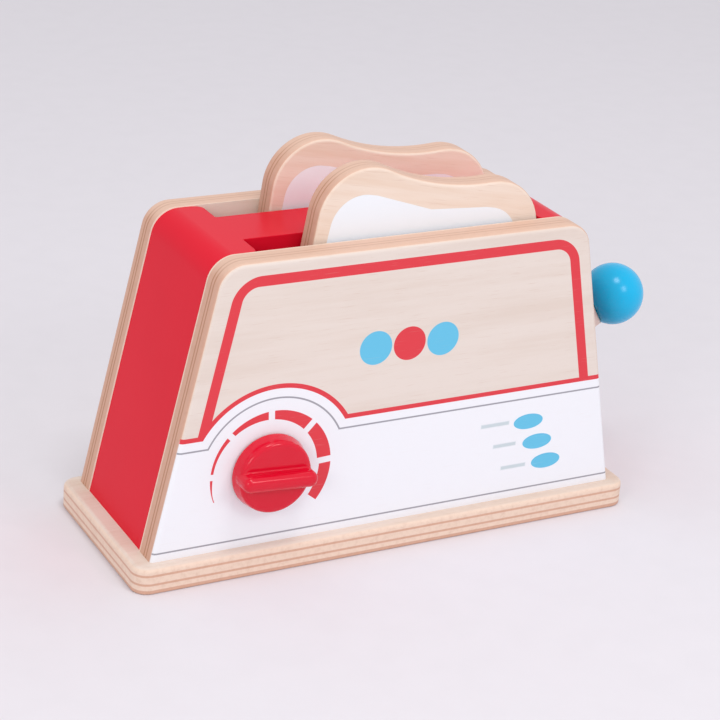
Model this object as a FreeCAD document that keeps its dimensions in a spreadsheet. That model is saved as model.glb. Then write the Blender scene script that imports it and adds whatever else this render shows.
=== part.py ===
import FreeCAD, Part
import math
import os

import Sketcher
from FreeCAD import Vector

# A wooden toy toaster.  Origin: centre of the base's underside.
# X runs along the toaster to the ball, the printed front looks to -Y, Z is up.
# Two plywood panels stand on the base with a red core between them.  A lever
# rocks inside the core: pressing its ball down lifts a crossbar, and with it
# the two slices of toast that stand on the crossbar.

# ---------------------------------------------------------------- sizes, mm
SIZES = [
    # base
    ("base_length", 240), ("base_width", 90), ("base_thickness", 12),
    ("base_corner_radius", 7), ("base_top_radius", 2.5), ("base_foot_radius", 1),
    # front and rear panels, and the depth over both
    ("body_depth", 80),
    ("panel_thickness", 11.5), ("panel_foot_length", 225), ("panel_top_length", 171), ("panel_height", 127),
    ("panel_corner_radius", 12), ("panel_edge_radius", 2),
    # red core between the panels
    ("core_inset", 0.3), ("board_thickness", 11.5), ("deck_thickness", 11.5),
    ("bread_slot_left", 65.2), ("bread_slot_right", 68.5), ("bread_slot_width", 15),
    ("bread_slot_corner", 1), ("bread_slot_mouth_radius", 4), ("bread_slot_lip", 1.2),
    ("inner_wall_thickness", 5),
    # slices of toast
    ("toast_thickness", 11), ("toast_height", 120.5), ("toast_foot_length", 100),
    ("toast_foot_radius", 9), ("toast_edge_radius", 1.5),
    ("front_toast_lean", 11), ("rear_toast_lean", 9),
    ("lobe_spacing", 62), ("lobe_radius", 22.8), ("crown_dip", 3.9),
    ("toast_end_gap", 0.4), ("toast_seat_gap", 0.25),
    # lever, its pivot and the ball
    ("lever_width", 10), ("lever_depth", 13.5), ("lever_edge_radius", 1.2),
    ("pivot_x", 75), ("pivot_height", 53.4),
    ("hub_diameter", 22), ("pin_diameter", 8),
    ("washer_diameter", 18),
    ("outer_arm_slope", 29.5), ("ball_reach", 65),
    ("inner_arm_slope", 12), ("bar_reach", 74.6), ("bar_boss_diameter", 19),
    ("lever_travel", 24), ("lever_slot_play", 1.6), ("lever_slot_side_play", 1.25),
    ("ball_diameter", 28.5), ("ball_flat_distance", 12.3),
    ("ball_dowel_diameter", 6), ("ball_dowel_in_lever", 12), ("ball_dowel_in_ball", 12),
    # crossbar under the slices
    ("bar_diameter", 10), ("bar_end_gap", 1.5), ("bar_chamfer", 0.8),
    ("guide_play", 1), ("guide_stop_gap", 1.2),
    # dial on the front panel
    ("dial_x", -60.7), ("dial_height", 45.9), ("dial_back_gap", 0.6),
    ("dial_diameter", 34.4), ("dial_taper", 1.8), ("dial_thickness", 7.4), ("dial_edge_radius", 2),
    ("grip_length", 34), ("grip_width", 7), ("grip_height", 6), ("grip_tilt", 3.5),
    ("grip_edge_radius", 2.8),
    ("dial_screw_diameter", 3.5), ("dial_screw_in_dial", 7),
    ("dial_head_diameter", 7), ("dial_head_height", 2.2), ("dial_head_play", 1),
    ("dial_sink_depth", 4), ("dial_washer_diameter", 14), ("dial_washer_gap", 0.1),
    # dowels and screws that hold the case together
    ("panel_dowel_diameter", 6), ("panel_dowel_in_panel", 7), ("panel_dowel_in_board", 12),
    ("panel_dowel_low", 28), ("panel_dowel_high", 96),
    ("deck_dowel_diameter", 5), ("deck_dowel_in_deck", 5.5), ("deck_dowel_in_board", 9),
    ("deck_dowel_spacing", 34),
    ("base_screw_spacing", 85), ("base_screw_diameter", 4), ("base_screw_length", 30),
    ("base_screw_head", 2), ("base_screw_recess", 0.3),
    # fits
    ("running_clearance", 0.08), ("side_clearance", 0.25),
]

doc = FreeCAD.newDocument("ToyToaster")
sheet = doc.addObject("Spreadsheet::Sheet", "Sizes")
for row, (alias, size) in enumerate(SIZES, start=1):
    sheet.set("A%d" % row, alias)
    sheet.set("B%d" % row, str(size))
    sheet.setAlias("B%d" % row, alias)
doc.recompute()


def value(expression):
    """The number that an expression on the sheet comes to."""
    result = sheet.evalExpression(expression)
    return float(getattr(result, "Value", result))


# ------------------------------------------------- places that pieces share
DECK_TOP = "(Sizes.base_thickness + Sizes.panel_height - Sizes.core_inset)"
DECK_UNDER = "(%s - Sizes.deck_thickness)" % DECK_TOP
CORE_DEPTH = "(Sizes.body_depth - 2 * Sizes.panel_thickness)"
PANEL_MID_Y = "((Sizes.body_depth - Sizes.panel_thickness) / 2)"
RIB_HALF = "(%s / 2 - Sizes.bread_slot_width)" % CORE_DEPTH
SLOT_MID_Y = "(%s / 2 - Sizes.bread_slot_width / 2)" % CORE_DEPTH
TAPER = "((Sizes.panel_foot_length - Sizes.panel_top_length) / 2 / Sizes.panel_height)"
BAR_X = "(Sizes.pivot_x - Sizes.bar_reach * cos(Sizes.inner_arm_slope))"
BAR_HEIGHT = "(Sizes.pivot_height - Sizes.bar_reach * sin(Sizes.inner_arm_slope))"
BALL_TURN = "(90 - Sizes.outer_arm_slope)"


def side_x(height):
    """Half-length of the panels' outline at a height."""
    return "(Sizes.panel_foot_length / 2 - (%s - Sizes.base_thickness) * %s)" % (height, TAPER)


def board_outer_x(height):
    return "(%s - Sizes.core_inset)" % side_x(height)


def board_inner_x(height):
    return "(%s - Sizes.board_thickness * sqrt(1 + %s * %s))" % (board_outer_x(height), TAPER, TAPER)


def board_mid_x(height):
    return "((%s + %s) / 2)" % (board_outer_x(height), board_inner_x(height))


# ------------------------------------------------------ sketches and bodies
def new_body(label):
    body = doc.addObject("PartDesign::Body", label)
    body.Label = label
    return body


def new_sketch(body, name, role, offset=None):
    """A sketch on one of the body's own origin planes, set off along its normal."""
    plane = [feature for feature in body.Origin.OriginFeatures if feature.Role == role][0]
    sketch = body.newObject("Sketcher::SketchObject", name)
    sketch.AttachmentSupport = [(plane, "")]
    sketch.MapMode = "FlatFace"
    if offset is not None:
        sketch.setExpression("AttachmentOffset.Base.z", offset)
    return sketch


def bind(sketch, constraint, expression):
    index = sketch.addConstraint(constraint)
    sketch.setExpression("Constraints[%d]" % index, expression)


def bind_point(sketch, geometry, point, across, up):
    bind(sketch, Sketcher.Constraint("DistanceX", geometry, point, value(across)), across)
    bind(sketch, Sketcher.Constraint("DistanceY", geometry, point, value(up)), up)


def polygon(sketch, corners):
    """Closed outline through corners that are pairs of expressions."""
    first = sketch.GeometryCount
    points = [Vector(value(across), value(up), 0) for across, up in corners]
    count = len(points)
    for i in range(count):
        sketch.addGeometry(Part.LineSegment(points[i], points[(i + 1) % count]), False)
    for i in range(count):
        following = first + (i + 1) % count
        sketch.addConstraint(Sketcher.Constraint("Coincident", first + i, 2, following, 1))
    for i, (across, up) in enumerate(corners):
        bind_point(sketch, first + i, 1, across, up)


def rectangle(sketch, left, right, low, high):
    polygon(sketch, [(left, low), (right, low), (right, high), (left, high)])


def circle(sketch, across, up, diameter):
    centre = Vector(value(across), value(up), 0)
    index = sketch.addGeometry(Part.Circle(centre, Vector(0, 0, 1), value(diameter) / 2), False)
    bind_point(sketch, index, 3, across, up)
    bind(sketch, Sketcher.Constraint("Diameter", index, value(diameter)), diameter)


def arc(sketch, across, up, radius, start, end):
    """Arc about a centre given as numbers, from one angle to another in degrees."""
    path = Part.Circle(Vector(across, up, 0), Vector(0, 0, 1), radius)
    return sketch.addGeometry(Part.ArcOfCircle(path, math.radians(start), math.radians(end)), False)


def tangent(sketch, first, first_point, second, second_point):
    sketch.addConstraint(Sketcher.Constraint("Tangent", first, first_point, second, second_point))


def pad(body, sketch, name, length, symmetric=True):
    feature = body.newObject("PartDesign::Pad", name)
    feature.Profile = sketch
    feature.SideType = "Symmetric" if symmetric else "One side"
    feature.setExpression("Length", length)
    doc.recompute()
    return feature


def pocket(body, sketch, name, length, symmetric=True, reverse=False):
    """Cuts a sketch out of the body, and makes sure that something went."""
    before = body.Shape.Volume
    feature = body.newObject("PartDesign::Pocket", name)
    feature.Profile = sketch
    feature.SideType = "Symmetric" if symmetric else "One side"
    feature.Reversed = reverse
    feature.setExpression("Length", length)
    doc.recompute()
    if body.Shape.Volume >= before:
        raise RuntimeError("%s in %s cuts nothing" % (name, body.Label))
    return feature


def soften(body, kind, name, setting, size, choose):
    """Rounds or bevels the edges of the body's last feature that choose picks."""
    base = body.Tip
    edges = ["Edge%d" % i for i, edge in enumerate(base.Shape.Edges, start=1) if choose(edge)]
    feature = body.newObject(kind, name)
    feature.Base = (base, edges)
    feature.setExpression(setting, size)
    doc.recompute()


def fillet(body, name, radius, choose):
    soften(body, "PartDesign::Fillet", name, "Radius", radius, choose)


NEAR = 1e-4


def close(first, second):
    return abs(first - second) < NEAR


def runs_along(edge, axis):
    direction = edge.tangentAt(edge.FirstParameter)
    return close(abs(getattr(direction, axis)), 1)


def lies_at(edge, axis, place):
    """Whether the whole edge lies in the plane where axis equals place."""
    box = edge.BoundBox
    low = getattr(box, axis.upper() + "Min")
    high = getattr(box, axis.upper() + "Max")
    return close(low, place) and close(high, place)


# ------------------------------------------------- primitives and booleans
Y_OUT = 90
Y_IN = -90


def place(solid, x, y, z, axis=None, angle=None):
    """Binds a solid's place, and its turn about one axis, to the sheet."""
    for name, expression in (("x", x), ("y", y), ("z", z)):
        solid.setExpression("Placement.Base." + name, expression)
    if axis is not None:
        for name in ("x", "y", "z"):
            solid.setExpression("Placement.Rotation.Axis." + name, "1" if name == axis else "0")
        solid.setExpression("Placement.Rotation.Angle", str(angle))
    return solid


def cylinder(name, diameter, height):
    solid = doc.addObject("Part::Cylinder", name)
    solid.setExpression("Radius", "%s / 2" % diameter)
    solid.setExpression("Height", height)
    return solid


def cone(name, low_radius, high_radius, height):
    solid = doc.addObject("Part::Cone", name)
    solid.setExpression("Radius1", low_radius)
    solid.setExpression("Radius2", high_radius)
    solid.setExpression("Height", height)
    return solid


def cut(label, base, tools):
    """The base less its tools, as the piece with this label."""
    group = doc.addObject("Part::Compound", label + "_tools")
    group.Links = tools
    piece = doc.addObject("Part::Cut", label)
    piece.Label = label
    piece.Base = base
    piece.Tool = group
    return piece


def fuse(name, first, second):
    piece = doc.addObject("Part::Fuse", name)
    piece.Base = first
    piece.Tool = second
    return piece


def group_of(label, solids):
    group = doc.addObject("Part::Compound", label)
    group.Label = label
    group.Links = solids
    return group


# ------------------------------------------------------- dowels and screws
def make_panel_dowels():
    """Eight dowels from the panels into the edges of the two end boards."""
    dowels = []
    length = "(Sizes.panel_dowel_in_panel + Sizes.panel_dowel_in_board)"
    for end in (-1, 1):
        for level in ("panel_dowel_low", "panel_dowel_high"):
            height = "(Sizes.base_thickness + Sizes.%s)" % level
            for face, turn in ((-1, Y_IN), (1, Y_OUT)):
                dowel = cylinder("panel_dowel", "Sizes.panel_dowel_diameter", length)
                start = "%d * (%s / 2 + Sizes.panel_dowel_in_panel)" % (face, CORE_DEPTH)
                place(dowel, "%d * %s" % (end, board_mid_x(height)), start, height, "x", turn)
                dowels.append(dowel)
    return group_of("panel_dowels", dowels)


def make_deck_dowels():
    """Four upright dowels from the deck down into the end boards."""
    dowels = []
    length = "(Sizes.deck_dowel_in_deck + Sizes.deck_dowel_in_board)"
    for end in (-1, 1):
        for side in (-1, 1):
            dowel = cylinder("deck_dowel", "Sizes.deck_dowel_diameter", length)
            place(dowel, "%d * %s" % (end, board_mid_x(DECK_UNDER)),
                  "%d * Sizes.deck_dowel_spacing / 2" % side,
                  "%s - Sizes.deck_dowel_in_board" % DECK_UNDER)
            dowels.append(dowel)
    return group_of("deck_dowels", dowels)


def base_screw_places():
    for across in (-1, 0, 1):
        for face in (-1, 1):
            yield "%d * Sizes.base_screw_spacing" % across, "%d * %s" % (face, PANEL_MID_Y)


def make_base_screws():
    """Countersunk screws, heads a little below the base's underside."""
    radius = "Sizes.base_screw_diameter / 2"
    screws = []
    for x, y in base_screw_places():
        head = cone("base_screw_head", "%s + Sizes.base_screw_head" % radius, radius,
                    "Sizes.base_screw_head")
        place(head, x, y, "Sizes.base_screw_recess")
        shank = cylinder("base_screw_shank", "Sizes.base_screw_diameter", "Sizes.base_screw_length")
        place(shank, x, y, "Sizes.base_screw_recess")
        screws.append(fuse("base_screw", head, shank))
    return group_of("base_screws", screws)


# -------------------------------------------------------------- the casing
def make_base_plate():
    board = new_body("base_board")
    outline = new_sketch(board, "base_outline", "XY_Plane")
    rectangle(outline, "-Sizes.base_length / 2", "Sizes.base_length / 2",
              "-Sizes.base_width / 2", "Sizes.base_width / 2")
    pad(board, outline, "base_pad", "Sizes.base_thickness", symmetric=False)
    fillet(board, "base_corners", "Sizes.base_corner_radius", lambda edge: runs_along(edge, "z"))
    top = value("Sizes.base_thickness")
    fillet(board, "base_top_edges", "Sizes.base_top_radius", lambda edge: lies_at(edge, "z", top))
    fillet(board, "base_foot_edges", "Sizes.base_foot_radius", lambda edge: lies_at(edge, "z", 0))
    sinks = []
    radius = "Sizes.base_screw_diameter / 2"
    depth = "(Sizes.base_screw_recess + Sizes.base_screw_head)"
    for x, y in base_screw_places():
        sink = cone("base_screw_sink", "%s + %s" % (radius, depth), radius, depth)
        hole = cylinder("base_screw_hole", "Sizes.base_screw_diameter", "Sizes.base_thickness")
        sinks += [place(sink, x, y, "0"), place(hole, x, y, "0")]
    return cut("base_plate", board, sinks)


def outline_prism(label, inset, depth):
    """The toaster's sloping outline as a solid, with its top corners rounded."""
    body = new_body(label)
    outline = new_sketch(body, label + "_outline", "XZ_Plane")
    low = "Sizes.base_thickness"
    high = "(Sizes.base_thickness + Sizes.panel_height - %s)" % inset
    foot = "(%s - %s)" % (side_x(low), inset)
    top = "(%s - %s)" % (side_x(high), inset)
    polygon(outline, [("-" + foot, low), (foot, low), (top, high), ("-" + top, high)])
    pad(body, outline, label + "_pad", depth)
    crest = value(high)
    fillet(body, label + "_corners", "Sizes.panel_corner_radius",
           lambda edge: runs_along(edge, "y") and close(edge.CenterOfMass.z, crest))
    return body


def make_panel(label, face, holes):
    """A panel, its outer face to local -Y, then turned to its own side."""
    blank = outline_prism(label + "_blank", "0", "Sizes.panel_thickness")
    outer = -value("Sizes.panel_thickness") / 2
    foot = value("Sizes.base_thickness")
    fillet(blank, label + "_outer_edges", "Sizes.panel_edge_radius",
           lambda edge: lies_at(edge, "y", outer) and edge.CenterOfMass.z > foot + NEAR)
    place(blank, "0", "%d * %s" % (face, PANEL_MID_Y), "0", "z", 0 if face < 0 else 180)
    return cut(label, blank, holes)


def make_end_board(label, end, holes):
    """A sloping board that closes one end, from the base up to the deck."""
    blank = outline_prism(label + "_blank", "Sizes.core_inset", CORE_DEPTH)
    waste = new_sketch(blank, label + "_waste", "XZ_Plane")
    low = "Sizes.base_thickness"
    far = "Sizes.base_length"
    above = "(%s + Sizes.deck_thickness)" % DECK_TOP
    polygon(waste, [
        ("%d * %s" % (end, board_inner_x(low)), low),
        ("%d * %s" % (end, board_inner_x(DECK_UNDER)), DECK_UNDER),
        ("%d * %s" % (end, far), DECK_UNDER),
        ("%d * %s" % (end, far), above),
        ("%d * %s" % (-end, far), above),
        ("%d * %s" % (-end, far), low),
    ])
    pocket(blank, waste, label + "_cut_back", "Sizes.body_depth")
    if end > 0:
        cut_lever_slot(blank)
    return cut(label, blank, holes)


def cut_lever_slot(board):
    """The upright slot for the lever: room for it at rest and fully pressed."""
    pressed = "(Sizes.outer_arm_slope - Sizes.lever_travel)"
    inner = "(%s - Sizes.pivot_x)" % board_inner_x("Sizes.pivot_height")
    low = ("(Sizes.pivot_height + %s * tan(%s) - Sizes.lever_depth / 2 / cos(%s)"
           " - Sizes.lever_slot_play)" % (inner, pressed, pressed))
    rise = "tan(Sizes.outer_arm_slope)"
    foot = "(%s - Sizes.pivot_x)" % board_outer_x("0")
    high = ("((Sizes.pivot_height + %s * %s + Sizes.lever_depth / 2 / cos(Sizes.outer_arm_slope))"
            " / (1 + %s * %s) + Sizes.lever_slot_play)" % (foot, rise, TAPER, rise))
    half = "(Sizes.lever_width / 2 + Sizes.lever_slot_side_play)"
    slot = new_sketch(board, "lever_slot", "YZ_Plane")
    rectangle(slot, "-" + half, half, low, high)
    pocket(board, slot, "lever_slot_cut", "Sizes.base_length", symmetric=False, reverse=True)


def make_top_deck(holes):
    """The deck, cut away at both sides for the two bread slots."""
    blank = outline_prism("top_deck_blank", "Sizes.core_inset", CORE_DEPTH)
    under = new_sketch(blank, "deck_under", "XZ_Plane")
    rectangle(under, "-Sizes.base_length", "Sizes.base_length", "0", DECK_UNDER)
    pocket(blank, under, "deck_under_cut", "Sizes.body_depth")
    slots = new_sketch(blank, "bread_slots", "XY_Plane", DECK_UNDER)
    left = "-Sizes.bread_slot_left"
    right = "Sizes.bread_slot_right"
    rectangle(slots, left, right, RIB_HALF, "Sizes.body_depth")
    rectangle(slots, left, right, "-Sizes.body_depth", "-" + RIB_HALF)
    pocket(blank, slots, "bread_slots_cut", "2 * Sizes.deck_thickness", symmetric=False, reverse=True)
    ends = (value(left), value(right))

    def upright_at(edge, side):
        middle = edge.CenterOfMass
        at_end = close(middle.x, ends[0]) or close(middle.x, ends[1])
        return runs_along(edge, "z") and at_end and close(abs(middle.y), side)

    rib = value(RIB_HALF)
    side = value(CORE_DEPTH) / 2
    fillet(blank, "bread_slot_corners", "Sizes.bread_slot_corner", lambda edge: upright_at(edge, rib))
    fillet(blank, "bread_slot_mouths", "Sizes.bread_slot_mouth_radius",
           lambda edge: upright_at(edge, side))
    crest = value(DECK_TOP)
    reach = value("Sizes.bread_slot_mouth_radius")
    fillet(blank, "bread_slot_lips", "Sizes.bread_slot_lip",
           lambda edge: lies_at(edge, "z", crest) and abs(edge.CenterOfMass.y) < side - NEAR
           and ends[0] - reach < edge.CenterOfMass.x < ends[1] + reach)
    return cut("top_deck", blank, holes)


def make_inner_wall(label, face, pin):
    """A thin wall beside the lever, with the crossbar's upright guide slot."""
    blank = new_body(label + "_blank")
    outline = new_sketch(blank, label + "_outline", "XZ_Plane")
    low = "Sizes.base_thickness"
    polygon(outline, [
        ("-" + board_inner_x(low), low), (board_inner_x(low), low),
        (board_inner_x(DECK_UNDER), DECK_UNDER), ("-" + board_inner_x(DECK_UNDER), DECK_UNDER),
    ])
    pad(blank, outline, label + "_pad", "Sizes.inner_wall_thickness")
    sweep = "(Sizes.bar_reach * (1 - cos(Sizes.inner_arm_slope)))"
    reach = "(Sizes.bar_diameter / 2 + Sizes.guide_play)"
    stop = "(Sizes.bar_diameter / 2 + Sizes.guide_stop_gap)"
    lifted = "(Sizes.lever_travel - Sizes.inner_arm_slope)"
    guide = new_sketch(blank, label + "_guide", "XZ_Plane")
    rectangle(guide, "%s - %s - %s" % (BAR_X, sweep, reach), "%s + %s" % (BAR_X, reach),
              "%s - %s" % (BAR_HEIGHT, stop),
              "Sizes.pivot_height + Sizes.bar_reach * sin(%s) + %s" % (lifted, stop))
    pocket(blank, guide, label + "_guide_cut", "Sizes.body_depth")
    middle = "(%s - Sizes.inner_wall_thickness / 2)" % RIB_HALF
    place(blank, "0", "%d * %s" % (face, middle), "0")
    return cut(label, blank, [pin])


# ------------------------------------------------ lever, ball and crossbar
def make_pivot_pin():
    pin = cylinder("pivot_pin", "Sizes.pin_diameter", "2 * %s" % RIB_HALF)
    return place(pin, "Sizes.pivot_x", "-" + RIB_HALF, "Sizes.pivot_height", "x", Y_IN)


def make_pivot_washers():
    """Spacers on the pin that keep the lever midway between the inner walls."""
    inner = "(Sizes.lever_width / 2 + Sizes.side_clearance)"
    thickness = "(%s - Sizes.inner_wall_thickness - %s)" % (RIB_HALF, inner)
    washers = []
    for face, turn in ((-1, Y_OUT), (1, Y_IN)):
        disc = cylinder("pivot_washer_disc", "Sizes.washer_diameter", thickness)
        bore = cylinder("pivot_washer_bore", "Sizes.pin_diameter", thickness)
        for solid in (disc, bore):
            place(solid, "Sizes.pivot_x", "%d * %s" % (face, inner), "Sizes.pivot_height", "x", turn)
        washers.append(cut("pivot_washer", disc, [bore]))
    return group_of("pivot_washers", washers)


def along_outer_arm(distance):
    """The point on the outer arm's line at a distance from the pivot."""
    return ("Sizes.pivot_x + %s * cos(Sizes.outer_arm_slope)" % distance, "0",
            "Sizes.pivot_height + %s * sin(Sizes.outer_arm_slope)" % distance)


ARM_END = "(Sizes.ball_reach - Sizes.ball_flat_distance)"


def make_ball_dowel():
    length = "(Sizes.ball_dowel_in_lever + Sizes.ball_dowel_in_ball)"
    dowel = cylinder("ball_dowel", "Sizes.ball_dowel_diameter", length)
    start = "(%s - Sizes.ball_dowel_in_lever)" % ARM_END
    return place(dowel, *along_outer_arm(start), "y", BALL_TURN)


def make_lever_arm(dowel):
    """The dog-leg lever, drawn about its pivot with the outer arm along local X."""
    lever = new_body("lever_blank")
    half = "(Sizes.lever_depth / 2)"
    outer = new_sketch(lever, "outer_arm", "XZ_Plane")
    rectangle(outer, "0", ARM_END, "-" + half, half)
    pad(lever, outer, "outer_arm_pad", "Sizes.lever_width")
    fillet(lever, "outer_arm_edges", "Sizes.lever_edge_radius", lambda edge: runs_along(edge, "x"))
    turn = "(180 + Sizes.inner_arm_slope - Sizes.outer_arm_slope)"

    def inner_point(along, across):
        return ("%s * cos(%s) - %s * sin(%s)" % (along, turn, across, turn),
                "%s * sin(%s) + %s * cos(%s)" % (along, turn, across, turn))

    inner = new_sketch(lever, "inner_arm", "XZ_Plane")
    polygon(inner, [inner_point("0", "-" + half), inner_point("Sizes.bar_reach", "-" + half),
                    inner_point("Sizes.bar_reach", half), inner_point("0", half)])
    pad(lever, inner, "inner_arm_pad", "Sizes.lever_width")
    bar = inner_point("Sizes.bar_reach", "0")
    bosses = new_sketch(lever, "lever_bosses", "XZ_Plane")
    circle(bosses, "0", "0", "Sizes.hub_diameter")
    circle(bosses, *bar, "Sizes.bar_boss_diameter")
    pad(lever, bosses, "lever_bosses_pad", "Sizes.lever_width")
    bores = new_sketch(lever, "lever_bores", "XZ_Plane")
    circle(bores, "0", "0", "Sizes.pin_diameter + 2 * Sizes.running_clearance")
    circle(bores, *bar, "Sizes.bar_diameter + 2 * Sizes.running_clearance")
    pocket(lever, bores, "lever_bores_cut", "2 * Sizes.lever_width")
    place(lever, "Sizes.pivot_x", "0", "Sizes.pivot_height", "y", "-Sizes.outer_arm_slope")
    return cut("lever_arm", lever, [dowel])


def make_lever_ball(dowel):
    """A ball with a small flat where it meets the end of the lever."""
    ball = doc.addObject("Part::Sphere", "ball_blank")
    ball.setExpression("Radius", "Sizes.ball_diameter / 2")
    ball.setExpression("Angle1", "-asin(2 * Sizes.ball_flat_distance / Sizes.ball_diameter)")
    place(ball, *along_outer_arm("Sizes.ball_reach"), "y", BALL_TURN)
    return cut("lever_ball", ball, [dowel])


def make_lift_bar():
    bar = new_body("lift_bar")
    section = new_sketch(bar, "bar_section", "XZ_Plane")
    circle(section, "0", "0", "Sizes.bar_diameter")
    pad(bar, section, "bar_pad", "%s - 2 * Sizes.bar_end_gap" % CORE_DEPTH)
    soften(bar, "PartDesign::Chamfer", "bar_chamfer", "Size", "Sizes.bar_chamfer",
           lambda edge: lies_at(edge, "y", edge.CenterOfMass.y))
    return place(bar, BAR_X, "0", BAR_HEIGHT)


# ---------------------------------------------------------- slices of toast
def draw_slice(sketch):
    """A slice: straight sides, two round lobes and the shallow dip between them."""
    lobe_height = "(Sizes.toast_height - Sizes.lobe_radius)"
    dip_radius = ("(((Sizes.lobe_spacing / 2)^2 + Sizes.crown_dip^2"
                  " - 2 * Sizes.lobe_radius * Sizes.crown_dip) / (2 * Sizes.crown_dip))")
    foot = value("Sizes.toast_foot_length / 2")
    centre = value("Sizes.lobe_spacing / 2")
    level = value(lobe_height)
    radius = value("Sizes.lobe_radius")
    dip = value(dip_radius)
    dip_centre = value("Sizes.toast_height - Sizes.crown_dip") + dip
    swing = math.degrees(math.atan2(centre, dip_centre - level))
    bottom = sketch.addGeometry(Part.LineSegment(Vector(-foot, 0, 0), Vector(foot, 0, 0)), False)
    right = sketch.addGeometry(
        Part.LineSegment(Vector(foot, 0, 0), Vector(centre + radius, level, 0)), False)
    right_lobe = arc(sketch, centre, level, radius, 0, 90 + swing)
    crown = arc(sketch, 0, dip_centre, dip, 270 - swing, 270 + swing)
    left_lobe = arc(sketch, -centre, level, radius, 90 - swing, 180)
    left = sketch.addGeometry(
        Part.LineSegment(Vector(-centre - radius, level, 0), Vector(-foot, 0, 0)), False)
    sketch.addConstraint(Sketcher.Constraint("Coincident", bottom, 2, right, 1))
    sketch.addConstraint(Sketcher.Constraint("Coincident", bottom, 1, left, 2))
    tangent(sketch, right, 2, right_lobe, 1)
    tangent(sketch, right_lobe, 2, crown, 2)
    tangent(sketch, crown, 1, left_lobe, 1)
    tangent(sketch, left_lobe, 2, left, 1)
    bind_point(sketch, bottom, 1, "-Sizes.toast_foot_length / 2", "0")
    bind_point(sketch, bottom, 2, "Sizes.toast_foot_length / 2", "0")
    for lobe, side in ((right_lobe, ""), (left_lobe, "-")):
        bind_point(sketch, lobe, 3, side + "Sizes.lobe_spacing / 2", lobe_height)
        bind(sketch, Sketcher.Constraint("Radius", lobe, radius), "Sizes.lobe_radius")
    bind(sketch, Sketcher.Constraint("Radius", crown, dip), dip_radius)


def make_toast(label, face, lean):
    """A slice that stands on the crossbar and leans on the end of its slot."""
    slice_body = new_body(label)
    outline = new_sketch(slice_body, label + "_outline", "XZ_Plane")
    draw_slice(outline)
    pad(slice_body, outline, label + "_pad", "Sizes.toast_thickness")
    fillet(slice_body, label + "_feet", "Sizes.toast_foot_radius",
           lambda edge: runs_along(edge, "y") and close(edge.CenterOfMass.z, 0))
    half = value("Sizes.toast_thickness") / 2
    fillet(slice_body, label + "_edges", "Sizes.toast_edge_radius",
           lambda edge: lies_at(edge, "y", half) or lies_at(edge, "y", -half))
    end = "(Sizes.bread_slot_right - Sizes.toast_end_gap - Sizes.lobe_radius)"
    x = ("(%s - Sizes.lobe_spacing / 2 * cos(%s) - (Sizes.toast_height - Sizes.lobe_radius) * sin(%s))"
         % (end, lean, lean))
    seat = "(Sizes.bar_diameter / 2 + Sizes.toast_seat_gap)"
    z = "%s + (%s + (%s - %s) * sin(%s)) / cos(%s)" % (BAR_HEIGHT, seat, BAR_X, x, lean, lean)
    return place(slice_body, x, "%d * %s" % (face, SLOT_MID_Y), z, "y", lean)


# -------------------------------------------------------------------- dial
DIAL_BACK = "(Sizes.body_depth / 2 + Sizes.dial_back_gap)"
SINK_FLOOR = "(%s / 2 + Sizes.dial_sink_depth)" % CORE_DEPTH


def on_dial_axis(solid, distance):
    """Puts a solid on the dial's axis, its local Z pointing out of the front."""
    return place(solid, "Sizes.dial_x", "-%s" % distance, "Sizes.dial_height", "x", Y_OUT)


def make_dial_screw():
    head = cylinder("dial_screw_head", "Sizes.dial_head_diameter", "Sizes.dial_head_height")
    on_dial_axis(head, "(%s - Sizes.dial_washer_gap - Sizes.dial_head_height)" % SINK_FLOOR)
    shank_start = "(%s - Sizes.dial_washer_gap)" % SINK_FLOOR
    shank = cylinder("dial_screw_shank", "Sizes.dial_screw_diameter",
                     "%s + Sizes.dial_screw_in_dial - %s" % (DIAL_BACK, shank_start))
    on_dial_axis(shank, shank_start)
    screw = fuse("dial_screw", head, shank)
    screw.Label = "dial_screw"
    return screw


def make_dial_washer():
    start = "(Sizes.body_depth / 2 + Sizes.dial_washer_gap)"
    height = "Sizes.dial_back_gap - Sizes.dial_washer_gap"
    disc = on_dial_axis(cylinder("dial_washer_disc", "Sizes.dial_washer_diameter", height), start)
    bore = on_dial_axis(cylinder("dial_washer_bore", "Sizes.dial_screw_diameter", height), start)
    return cut("dial_washer", disc, [bore])


def make_dial_holes():
    """The running hole for the dial's screw and the sink for its head."""
    running = "(Sizes.dial_screw_diameter + 2 * Sizes.running_clearance)"
    hole = cylinder("dial_hole", running, "Sizes.panel_thickness")
    on_dial_axis(hole, "(%s / 2)" % CORE_DEPTH)
    sink = cylinder("dial_sink", "(Sizes.dial_head_diameter + 2 * Sizes.dial_head_play)",
                    "Sizes.dial_sink_depth")
    on_dial_axis(sink, "(%s / 2)" % CORE_DEPTH)
    return [hole, sink]


def make_dial_knob(screw):
    """The dial: a thick tapering disc and a grip bar across its front."""
    knob = new_body("dial_blank")
    disc = knob.newObject("PartDesign::AdditiveCone", "dial_disc")
    disc.setExpression("Radius1", "Sizes.dial_diameter / 2")
    disc.setExpression("Radius2", "(Sizes.dial_diameter - Sizes.dial_taper) / 2")
    disc.setExpression("Height", "Sizes.dial_thickness")
    doc.recompute()
    front = value("Sizes.dial_thickness")
    fillet(knob, "dial_edge", "Sizes.dial_edge_radius", lambda edge: lies_at(edge, "z", front))
    draw_grip(knob)
    on_dial_axis(knob, DIAL_BACK)
    return cut("dial_knob", knob, [screw])


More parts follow.
